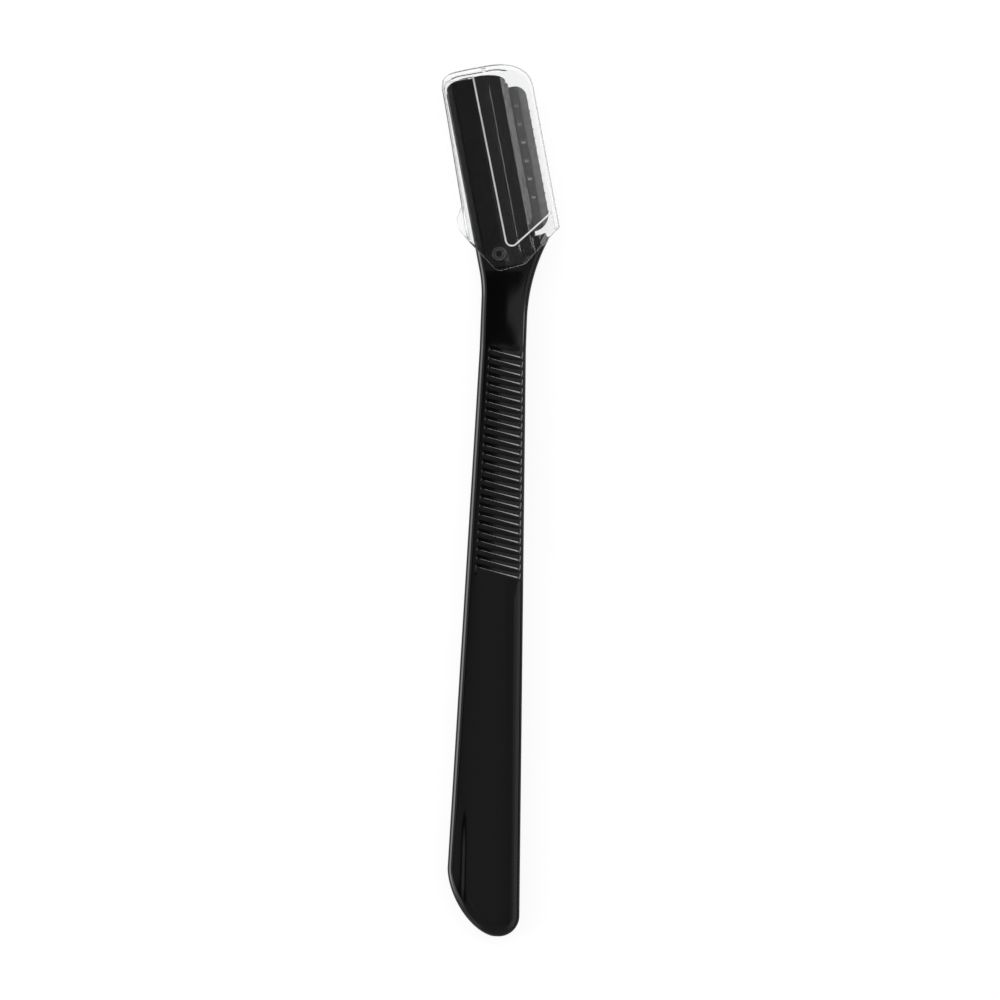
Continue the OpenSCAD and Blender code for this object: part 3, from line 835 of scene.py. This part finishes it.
def blade_guard():
    left, right = guard_low[0], blade_edge - GRIND_W
    low, high = guard_low[1], guard_high[1]
    tip = guard_high[0]
    back, front = guard_low[2], guard_high[2]
    first = blade_foot + BLADE_FOOT_R

    def foil(name, start, end):
        section = [(left, start), (right, start), (right, end), (left, end)]
        return soften(bar(name, section, low, high), FOIL_SOFT_W, 2)

    guard = foil("steel_guard", blade_front, front - CRIMP_RISE)
    parts = [foil("back_foil", back + CRIMP_RISE, blade_back)]
    rib = [(right - BAR_W, back), (right, back), (tip, blade_mid - FOIL_THICK / 2),
           (tip, blade_mid + FOIL_THICK / 2), (right, front), (right - BAR_W, front)]
    for i in range(int((blade_top - BLADE_CORNER_R - first) / BAR_PITCH) + 1):
        middle = first + i * BAR_PITCH
        parts.append(soften(bar("bar", rib, middle - BAR_W / 2, middle + BAR_W / 2), BAR_SOFT_W))
    along = first + CRIMP_START_SHARE * BAR_PITCH
    while along < high - CRIMP_R:
        parts.append(crimp((left + right) / 2, along, back, front))
        along += CRIMP_PITCH
    return join(guard, parts)


def crimp(across, along, back, front):
    """A round swelling on both faces of the guard, with a dimple in its middle."""
    steps = 10
    profile = []
    for i in range(steps + 1):
        r = CRIMP_R * (1 - i / steps) + CRIMP_TIP_R
        share = r / CRIMP_R
        drop = CRIMP_RISE * (1 + DIMPLE * (1 - share) ** 2) * (1 - math.sin(math.pi * share))
        profile.append((r, front - drop))
    mirrored = [(r, front + back - z) for r, z in reversed(profile)]
    return turned("crimp", profile + mirrored, across, along, 32, True)


def hollow_pin():
    """The pin, with two rounded rings on its front, and a thin web across its bore."""
    top, back, r = head_front, head_back, pin_r
    half = (r - PIN_BORE_R) / 4 - RING_GAP
    profile = [(PIN_BORE_R, back)]
    for middle in (PIN_BORE_R + half, r - half):
        profile += [(middle - half * cos(a), top - RING_H * (1 - sin(a))) for a in range(0, 181, 12)]
    front_flange, back_flange = top - PIN_FLANGE_H, back + PIN_FLANGE_H / 2
    profile += [(r, front_flange), (PIN_SHANK_R, front_flange), (PIN_SHANK_R, back_flange),
                (r, back_flange), (r, back)]
    low, high = back + PIN_WEB_UP, back + PIN_WEB_UP + PIN_WEB_H
    out = PIN_BORE_R + PIN_WEB_GRIP
    web = [(PIN_WEB_HOLE_R, low), (out, low), (out, high), (PIN_WEB_HOLE_R, high)]
    pin = turned("ring_pin", profile, *pin_middle, 96, True)
    return join(pin, [turned("pin_web", web, *pin_middle, 48, True)])


# Cap

def dome(left_inset, right_inset, top_inset, steps=72):
    """The arch of the cap's end, from right to left, moved in on each side and at its top."""
    points = []
    for i in range(steps + 1):
        a = 180 * i / steps
        p = DOME_RIGHT_POWER if a <= 90 else DOME_LEFT_POWER
        half = dome_half - (right_inset if a <= 90 else left_inset)
        points.append((dome_centre + math.copysign(half * power(abs(cos(a)), 2 / p), cos(a)),
                       dome_base + (CAP_DOME_H - CAP_DOME_DROP - top_inset) * power(sin(a), 2 / p)))
    return points


def cap_left_at(along):
    return -cap_left - CAP_DRAFT / (dome_base - TAB_HIGH) * (dome_base - along)


def cap_outline():
    mouth = [(cap_left_at(tab_foot), tab_foot), (-mouth_left, cap_mouth + mouth_left / 4),
             (-mouth_left / 2, cap_mouth), (mouth_right, cap_mouth + mouth_left / 4),
             (cap_right - CAP_RIGHT_WALL, CAP_RIGHT_END - CAP_RIGHT_WALL / 2), (cap_right, CAP_RIGHT_END)]
    corners = [(x, y, 0) for x, y in dome(0, 0, 0)]
    return rounded(corners + [(x, y, r) for (x, y), r in zip(mouth, MOUTH_CORNER_R)])


def cap_space():
    """The room inside the cap. Its walls slope, and its end slopes more than its sides."""
    low = cap_mouth - MOUTH_OVER
    outline = dome(CAP_LEFT_WALL, CAP_RIGHT_WALL, CAP_RIGHT_WALL)
    outline += [(cap_left_at(low) + CAP_LEFT_WALL, low), (cap_right - CAP_RIGHT_WALL, low)]
    levels = edge_levels(CAP_WALL, cap_thick - CAP_WALL, CAP_SPACE_EDGE_R, 4)
    points = []
    for z, grow in levels:
        depth = (cap_thick - CAP_WALL - z) / (cap_thick - 2 * CAP_WALL)
        limit = cap_top - CAP_END_WALL + CAP_END_SLOPE * depth
        flat = [(x, min(y, limit)) for x, y in outline]
        points += [to_row(x, y, z) for x, y in grown(flat, grow + CAP_WALL_SLOPE * depth)]
    return outward(new_piece("cap_space", points, stack_faces(len(outline), len(levels))))


def panel_outline():
    """The cap's sunken panel. Its left side runs down to a round foot, and up again to the right."""
    r = (seam - PANEL_LEFT) / 2
    low = (PANEL_LEFT + r + CAP_DRAFT, PANEL_FOOT + r)
    right = cap_right - CAP_RIGHT_WALL / 2
    run = Vector((right - low[0], PANEL_CORNER - low[1]))
    turn = math.degrees(math.atan2(run.y, run.x) + math.asin(r / run.length))
    return [(PANEL_LEFT, cap_top), *arc(low, r, 180, 270 + turn, 16), (right, PANEL_CORNER), (right, cap_top)]


def tab_outline():
    outer = cap_left_at(TAB_LOW) - tab_out
    high_root, low_root = cap_left_at(TAB_HIGH), cap_left_at(tab_foot)
    inside = CAP_LEFT_WALL / 2
    high_r, low_r = TAB_CORNER_R
    return rounded([(high_root + inside, TAB_HIGH, 0), (high_root, TAB_HIGH, 0),
                    (outer, (TAB_HIGH + TAB_LOW) / 2, high_r), (outer, TAB_LOW, low_r),
                    (low_root, tab_foot, 0), (low_root + inside, tab_foot + inside, 0)])


def edge_levels(low, high, r, steps=5):
    """Levels of a slab whose edges are rounded all round."""
    levels = [(low + r * (1 - cos(90 * i / steps)), -r * (1 - sin(90 * i / steps))) for i in range(steps + 1)]
    return levels + [(low + high - z, grow) for z, grow in reversed(levels)]


def clear_cap():
    cap = stack("clear_cap", cap_outline(), edge_levels(0, cap_thick, CAP_EDGE_R))
    low, high = (cap_thick - TAB_THICK) / 2, (cap_thick + TAB_THICK) / 2
    combine(cap, [stack("thumb_tab", tab_outline(), edge_levels(low, high, TAB_EDGE_R, 3))], "UNION")
    front = cap_thick - CAP_WALL
    space = cap_space()
    slope = PANEL_SLOPE_W / 2
    levels = [(front - PANEL_DROP, -slope), (front + OVER, slope), (front + FAR_OVER, slope)]
    panel = stack("blade_panel", panel_outline(), levels)
    combine(space, [panel], "DIFFERENCE")
    dish = [(GATE_R * sin(a), cap_thick + GATE_DEPTH * (1 - 2 * cos(a))) for a in range(2, 91, 11)]
    combine(cap, [space, turned("gate_mark", dish, *GATE_AT, 32)], "DIFFERENCE")
    return without_slivers(cap)


# Materials. The scale of a pattern is its number of cells to the metre, and its depth is in metres.

BLACK_SHADES = ((0.7, 0.7, 0.72), (1.3, 1.3, 1.34))
BLACK_MOTTLE_SCALE = 260
BLACK_GLOSS_SCALE = 700
BLACK_GLOSS_RANGE = (0.82, 1.2)
BLACK_GRAIN_SCALE = 5200
BLACK_GRAIN_DEPTH = 1.2e-6
BLACK_IOR = 1.5
STEEL_SHADES = ((0.92, 0.92, 0.93), (1.06, 1.06, 1.06))
STEEL_LINE_SCALE = 1000
STEEL_PATCH_SCALE = 420
STEEL_GLOSS_RANGE = (0.85, 1.15)
CAP_LEAN = 0.05
CAP_CROWN = 2.5
PANEL_LEAN = 0.05
CAP_WAVES = 7e-7
CAP_WAVE_SCALE = 240
CLEAR_ROUGH = 0.02
CLEAR_GLOSS_SCALE = 500
CLEAR_GLOSS_RANGE = (0.6, 1.4)
CLEAR_IOR = 1.49
CLEAR_TINT = (0.99, 0.992, 0.994, 1)
# Painted shade: the cap's steep faces get a darker tint, in place of the light lost over the longer way
# through its walls and the dark reflections at its rims. The tint is full below EDGE_FACING and gone above
# FLAT_FACING, by how far a face's normal points up.
PAINTED_EDGE_SHADE = (0.65, 0.66, 0.67, 1)
EDGE_FACING = 0.15
FLAT_FACING = 0.97
# Painted highlight: the pale white of the cap's panel step, which stands in for the light that the step's
# edge catches.
STEP_HIGHLIGHT_SHADES = ((0.88, 0.88, 0.89, 1), (0.97, 0.97, 0.98, 1))
STEP_HIGHLIGHT_GRAIN_SCALE = 2500
STEP_HIGHLIGHT_ROUGH = 0.4
STEP_HIGHLIGHT_GLOSS_RANGE = (0.75, 1.25)
STEP_HIGHLIGHT_CLEAR_SHARE = 0.15
# Most of a noise lies between these two levels. The gloss varies between them.
NOISE_RANGE = (0.3, 0.7)


def new_material(name):
    material = bpy.data.materials.new(name)
    material.use_nodes = True
    tree = material.node_tree
    tree.nodes.clear()
    return material, tree


def add(tree, kind, settings=None, **inputs):
    """A shader node with its settings and inputs. An input is a value, a node's output, or a node,
    which stands for its first output.
    """
    node = tree.nodes.new("ShaderNode" + kind)
    for key, value in (settings or {}).items():
        setattr(node, key, value)
    for key, value in inputs.items():
        socket = node.inputs[int(key[1:]) if key[1:].isdigit() else key.replace("_", " ")]
        value = value.outputs[0] if isinstance(value, bpy.types.Node) else value
        if isinstance(value, bpy.types.NodeSocket):
            tree.links.new(value, socket)
        else:
            socket.default_value = value
    return node


def maths(tree, operation, *values):
    inputs = {f"i{i}": value for i, value in enumerate(values)}
    return add(tree, "Math", {"operation": operation}, **inputs)


def spread(tree, value, low, high, out_low, out_high, smoothly=False):
    kind = "SMOOTHSTEP" if smoothly else "LINEAR"
    return add(tree, "MapRange", {"interpolation_type": kind}, Value=value, From_Min=low,
               From_Max=high, To_Min=out_low, To_Max=out_high)


def gloss_from(tree, pattern, rough, shares):
    """A roughness that varies with a noise, between two shares of it."""
    return spread(tree, pattern, *NOISE_RANGE, *(rough * share for share in shares))


def mix_colour(tree, share, first, second):
    return add(tree, "Mix", {"data_type": "RGBA"}, Factor=share, i6=first, i7=second).outputs[2]


def mottled(tree, pattern, grey, shades):
    """A grey that varies with a pattern. The shades are multiples of it."""
    first, second = ((*(grey * part for part in shade), 1) for shade in shades)
    return mix_colour(tree, pattern, first, second)


def head_turned(tree, scale):
    """The object's own coordinates, turned to run along the head, with a scale for each direction."""
    place = add(tree, "TexCoord").outputs["Object"]
    turned_place = add(tree, "VectorRotate", {"rotation_type": "Z_AXIS"}, Vector=place,
                       Angle=math.radians(-bend))
    return add(tree, "VectorMath", {"operation": "MULTIPLY"}, i0=turned_place, i1=scale)


def noise(tree, place, scale, detail=4.0, rough=0.55):
    return add(tree, "TexNoise", Vector=place, Scale=scale, Detail=detail, Roughness=rough)


def bump(tree, height, distance):
    return add(tree, "Bump", Height=height, Distance=distance, Strength=1.0)


def surface(tree, shader):
    add(tree, "OutputMaterial", Surface=shader)


def black_plastic(name, grey, rough):
    """Moulded black plastic: a soft mottle, patches of uneven gloss and a very fine grain."""
    material, tree = new_material(name)
    place = head_turned(tree, (1, 0.5, 1))
    tint = mottled(tree, noise(tree, place, BLACK_MOTTLE_SCALE), grey, BLACK_SHADES)
    gloss = gloss_from(tree, noise(tree, place, BLACK_GLOSS_SCALE), rough, BLACK_GLOSS_RANGE)
    grain = bump(tree, noise(tree, place, BLACK_GRAIN_SCALE, 2.0), BLACK_GRAIN_DEPTH)
    shader = add(tree, "BsdfPrincipled", Base_Color=tint, Roughness=gloss, IOR=BLACK_IOR, Normal=grain)
    surface(tree, shader)
    return material


def steel(name, grey, rough, lines, depth):
    """Steel with fine lines. `lines` is the scale of the pattern across and along the head."""
    material, tree = new_material(name)
    scratches = noise(tree, head_turned(tree, (*lines, 1)), STEEL_LINE_SCALE, 3.0, 0.6)
    patches = noise(tree, head_turned(tree, (1, 1, 1)), STEEL_PATCH_SCALE)
    tint = mottled(tree, patches, grey, STEEL_SHADES)
    gloss = gloss_from(tree, scratches, rough, STEEL_GLOSS_RANGE)
    grain = bump(tree, scratches, depth)
    shader = add(tree, "BsdfPrincipled", Base_Color=tint, Metallic=1.0, Roughness=gloss, Normal=grain)
    surface(tree, shader)
    return material


def clear_plastic(name, side=0):
    """Clear moulded plastic with a faint flow pattern, and a painted shade that darkens its steep faces.
    Light from the lamps goes straight through.

    Side 1 is the cap's front face, which falls away to the left of its panel. Side -1 is its inside:
    it follows the front there, and leans the other way under the panel.
    """
    material, tree = new_material(name)
    place = head_turned(tree, (1, 0.4, 1))
    gloss = gloss_from(tree, noise(tree, place, CLEAR_GLOSS_SCALE), CLEAR_ROUGH, CLEAR_GLOSS_RANGE)
    height = maths(tree, "MULTIPLY", noise(tree, place, CAP_WAVE_SCALE, 2.0), CAP_WAVES)
    if side:
        across = add(tree, "SeparateXYZ", i0=head_turned(tree, (1, 1, 1))).outputs[0]
        off = maths(tree, "SUBTRACT", across, (PANEL_LEFT + head_y * sin(bend)) * MM)
        left = maths(tree, "MINIMUM", off, 0.0)
        fall = maths(tree, "SUBTRACT", CAP_LEAN, maths(tree, "MULTIPLY", left, CAP_CROWN))
        shape = maths(tree, "MULTIPLY", left, fall)
        if side < 0:
            right = maths(tree, "MULTIPLY", maths(tree, "MAXIMUM", off, 0.0), -PANEL_LEAN)
            shape = maths(tree, "SUBTRACT", right, shape)
        height = maths(tree, "ADD", height, shape)
    # Seen from behind, the shape is turned round, or the face would lean the other way there.
    behind = add(tree, "NewGeometry").outputs["Backfacing"]
    sign = maths(tree, "SUBTRACT", 1.0, maths(tree, "MULTIPLY", behind, 2.0))
    flow = bump(tree, maths(tree, "MULTIPLY", height, sign), 1.0)
    # Painted shade: faces whose normal points little up are tinted darker, standing in for the grey look of
    # the cap's rims.
    normal = add(tree, "TexCoord").outputs["Normal"]
    facing = maths(tree, "ABSOLUTE", add(tree, "SeparateXYZ", i0=normal).outputs[2])
    tint = mix_colour(tree, spread(tree, facing, EDGE_FACING, FLAT_FACING, 0.0, 1.0), PAINTED_EDGE_SHADE, CLEAR_TINT)
    glass = add(tree, "BsdfPrincipled", Base_Color=tint, Roughness=gloss, IOR=CLEAR_IOR,
                Transmission_Weight=1.0, Normal=flow)
    through = add(tree, "BsdfTransparent", Color=CLEAR_TINT)
    shadow = add(tree, "LightPath").outputs["Is Shadow Ray"]
    surface(tree, add(tree, "MixShader", i0=shadow, i1=glass, i2=through))
    return material


def step_highlight_plastic(name):
    """The step of the cap's panel, coloured pale white as a painted highlight in place of the light its edge
    catches, so that it shows as a white line.
    """
    material, tree = new_material(name)
    place = head_turned(tree, (1, 0.3, 1))
    grain = noise(tree, place, STEP_HIGHLIGHT_GRAIN_SCALE)
    white = mix_colour(tree, grain, *STEP_HIGHLIGHT_SHADES)
    gloss = gloss_from(tree, grain, STEP_HIGHLIGHT_ROUGH, STEP_HIGHLIGHT_GLOSS_RANGE)
    shader = add(tree, "BsdfPrincipled", Base_Color=white, Roughness=gloss, IOR=CLEAR_IOR,
                 Transmission_Weight=STEP_HIGHLIGHT_CLEAR_SHARE)
    surface(tree, shader)
    return material


# Light

# Each card of light is (azimuth of its middle, half its width, lowest and highest angle from straight
# up, width of its soft border, brightness). Azimuth 0 is +X and 90 is +Y.
CARDS = [
    (76, 12, 24, 36, 3, 5.5),
    (90, 32, 24, 36, 3, 2.5),
    (42, 20, 30, 60, 6, 1.5),
    (138, 24, 24, 85, 8, 1.6),
    (187, 14, 50, 88, 8, 4.8),
    (185, 30, 13, 54, 6, 0.5),
    (203, 8, 18, 54, 4, 0.35),
    (192, 25, 9.5, 13, 1, 0.12),
    (0, 40, 3.9, 66, 2, 0.2),
    (0, 50, 14, 66, 8, 0.2),
    (0, 50, 26, 66, 8, 0.28),
    (0, 60, 66, 92, 4, 0.15),
    (14, 10, 48, 66, 3, 3.8),
    (180, 50, 3.7, 5.6, 1, 0.2),
    (215, 20, 30, 92, 6, 0.6),
    (265, 50, 4.5, 22, 2, 0.22),
    (272, 40, 22, 92, 6, 0.28),
    (40, 41, 7.3, 15, 0.7, 0.5),
]
ZENITH_LIGHT = 0.245
ZENITH_WIDTH = 3.7
ZENITH_SOFT = 0.5
DIM_LIGHT = 0.015


def card_light(tree, direction, zenith, card):
    azimuth, half, low, high, soft, brightness = card
    x, y = (add(tree, "VectorMath", {"operation": "DOT_PRODUCT"}, i0=direction, i1=way).outputs[1]
            for way in ((cos(azimuth), sin(azimuth), 0), (-sin(azimuth), cos(azimuth), 0)))
    turn = maths(tree, "DEGREES", maths(tree, "ABSOLUTE", maths(tree, "ARCTAN2", y, x)))
    across = spread(tree, turn, half - soft, half + soft, brightness, 0.0, True)
    inner = spread(tree, zenith, low - soft / 2, low + soft / 2, 0.0, 1.0, True)
    outer = spread(tree, zenith, high - soft / 2, high + soft / 2, 1.0, 0.0, True)
    return maths(tree, "MULTIPLY", across, maths(tree, "MULTIPLY", inner, outer))


def white_rays(tree):
    """1 for rays that should see plain white: those from the camera, straight or through the clear cap."""
    path = add(tree, "LightPath").outputs
    bounced = maths(tree, "MINIMUM", maths(tree, "ADD", path["Glossy Depth"], path["Diffuse Depth"]), 1.0)
    straight = maths(tree, "SUBTRACT", 1.0, bounced)
    through_cap = maths(tree, "MULTIPLY", path["Is Transmission Ray"], straight)
    return maths(tree, "MAXIMUM", path["Is Camera Ray"], through_cap)


def make_world():
    world = bpy.data.worlds.new("studio")
    bpy.context.scene.world = world
    world.use_nodes = True
    tree = world.node_tree
    tree.nodes.clear()
    direction = add(tree, "TexCoord").outputs["Generated"]
    up = add(tree, "SeparateXYZ", i0=direction).outputs[2]
    zenith = maths(tree, "DEGREES", maths(tree, "ARCCOSINE", up))
    light = spread(tree, zenith, ZENITH_WIDTH - ZENITH_SOFT, ZENITH_WIDTH + ZENITH_SOFT, ZENITH_LIGHT,
                   DIM_LIGHT, True)
    for card in CARDS:
        light = maths(tree, "ADD", light, card_light(tree, direction, zenith, card))
    seen = add(tree, "Mix", {"data_type": "FLOAT"}, i0=white_rays(tree), i2=light, i3=1.0)
    background = add(tree, "Background", Color=(1, 1, 1, 1), Strength=seen)
    add(tree, "OutputWorld", Surface=background)


FLOOR_HALF = 3000.0
FLOOR_LEVEL = -0.02
FLOOR_GREY = 0.15
FLOOR_SHADES = ((0.98, 0.98, 0.98), (1.02, 1.02, 1.02))
FLOOR_SCALE = 900
FLOOR_GLOW = 0.88
FLOOR_GLOSSY_SHARE = 0.4


def make_floor():
    """A white floor that looks plain white and keeps a faint shadow."""
    signs = [(-1, -1), (1, -1), (1, 1), (-1, 1)]
    corners = [(x * FLOOR_HALF, y * FLOOR_HALF, FLOOR_LEVEL) for x, y in signs]
    floor = new_piece("floor", corners, [(0, 1, 2, 3)])
    material, tree = new_material("floor_white")
    place = add(tree, "TexCoord").outputs["Object"]
    tint = mottled(tree, noise(tree, place, FLOOR_SCALE), FLOOR_GREY, FLOOR_SHADES)
    paper = add(tree, "BsdfDiffuse", Color=tint)
    path = add(tree, "LightPath").outputs
    glossy = maths(tree, "MULTIPLY", path["Is Glossy Ray"], FLOOR_GLOSSY_SHARE)
    seen = maths(tree, "MAXIMUM", glossy, path["Is Transmission Ray"])
    seen = maths(tree, "MAXIMUM", path["Is Camera Ray"], seen)
    level = maths(tree, "MULTIPLY", seen, FLOOR_GLOW)
    glow = add(tree, "Emission", Color=(1, 1, 1, 1), Strength=level)
    surface(tree, add(tree, "AddShader", i0=paper, i1=glow))
    floor.data.materials.append(material)


# Camera

VIEW_WIDTH = 172.4
CAMERA_HEIGHT = 3000.0
CAMERA_CENTRE = (0.471, 0.217)
CAMERA_TURN = 2.097
FOCUS_LEVEL = 3.5
SENSOR = 36.0


def make_camera():
    lens = bpy.data.cameras.new("camera")
    lens.sensor_width = SENSOR
    lens.lens = SENSOR * CAMERA_HEIGHT / VIEW_WIDTH
    lens.clip_start = 0.1
    lens.clip_end = 20.0
    camera = bpy.data.objects.new("camera", lens)
    bpy.context.scene.collection.objects.link(camera)
    camera.location = Vector((*CAMERA_CENTRE, CAMERA_HEIGHT + FOCUS_LEVEL)) * MM
    camera.rotation_euler = (0, 0, math.radians(CAMERA_TURN))
    bpy.context.scene.camera = camera


# The scene

# Faces that lie level, and faces of the cap's panel step, by how far their normal points up
LEVEL_TILT = 0.999
STEP_TILTS = (0.3, 0.97)
BLADE_SHARP = 8


def make_blade():
    flat_steel = steel("blade_flat", grey=0.24, rough=0.1, lines=(1.2, 0.08), depth=1e-7)
    blade = finish_piece(steel_blade(), flat_steel, "razor", "blade", BLADE_SHARP)
    ground_steel = steel("blade_ground", grey=0.32, rough=0.22, lines=(0.15, 3.0), depth=5e-7)
    blade.data.materials.append(ground_steel)
    for face in blade.data.polygons:
        across, _ = to_head(face.center.x / MM, face.center.y / MM)
        face.material_index = int(across > blade_edge - GRIND_W)


def make_cap():
    """The cap, whose front and inner front have their own plastic, and whose panel step has a painted
    highlight.
    """
    cap = finish_piece(clear_cap(), clear_plastic("clear_plastic"), "cap", "cap")
    front, inside = clear_plastic("clear_front", 1), clear_plastic("clear_inside", -1)
    for material in (front, inside, step_highlight_plastic("step_painted_highlight")):
        cap.data.materials.append(material)
    outline = panel_outline()
    panel_low, panel_high = cap_thick - CAP_WALL - PANEL_DROP, cap_thick - CAP_WALL
    for face in cap.data.polygons:
        up, tilt = face.center.z / MM, face.normal.z
        if tilt > LEVEL_TILT and up > panel_high:
            face.material_index = 1
        elif tilt < -LEVEL_TILT and up > panel_low - OVER:
            face.material_index = 2
        elif STEP_TILTS[0] < abs(tilt) < STEP_TILTS[1] and panel_low < up < panel_high:
            place = to_head(face.center.x / MM, face.center.y / MM)
            if distance_to(place, outline) < 2 * PANEL_SLOPE_W:
                # The panel step gets the painted highlight.
                face.material_index = 3


def make_razor():
    handle_black = black_plastic("handle_black", grey=0.0017, rough=0.08)
    head_black = black_plastic("head_black", grey=0.0022, rough=0.1)
    pin_black = black_plastic("pin_black", grey=0.03, rough=0.2)
    guard_steel = steel("guard_steel", grey=0.32, rough=0.15, lines=(1.0, 0.5), depth=2e-7)
    finish_piece(razor_handle(), handle_black, "razor", "handle", BEVEL_SHARP)
    finish_piece(spine_cover(), head_black, "razor", "spine_cover")
    finish_piece(blade_carrier(), head_black, "razor", "blade_carrier", BEVEL_SHARP)
    finish_piece(hollow_pin(), pin_black, "razor", "hollow_pin")
    make_blade()
    finish_piece(blade_guard(), guard_steel, "razor", "blade_guard")
    make_cap()


def distance_to(place, outline):
    """Distance from a place to an outline."""
    best = math.inf
    for i, end in enumerate(outline):
        start = Vector(outline[i - 1])
        run = Vector(end) - start
        share = min(1.0, max(0.0, (Vector(place) - start).dot(run) / max(run.length_squared, 1e-9)))
        best = min(best, (start + run * share - Vector(place)).length)
    return best


make_razor()
make_world()
make_floor()
make_camera()
bpy.context.scene.view_settings.view_transform = "Standard"
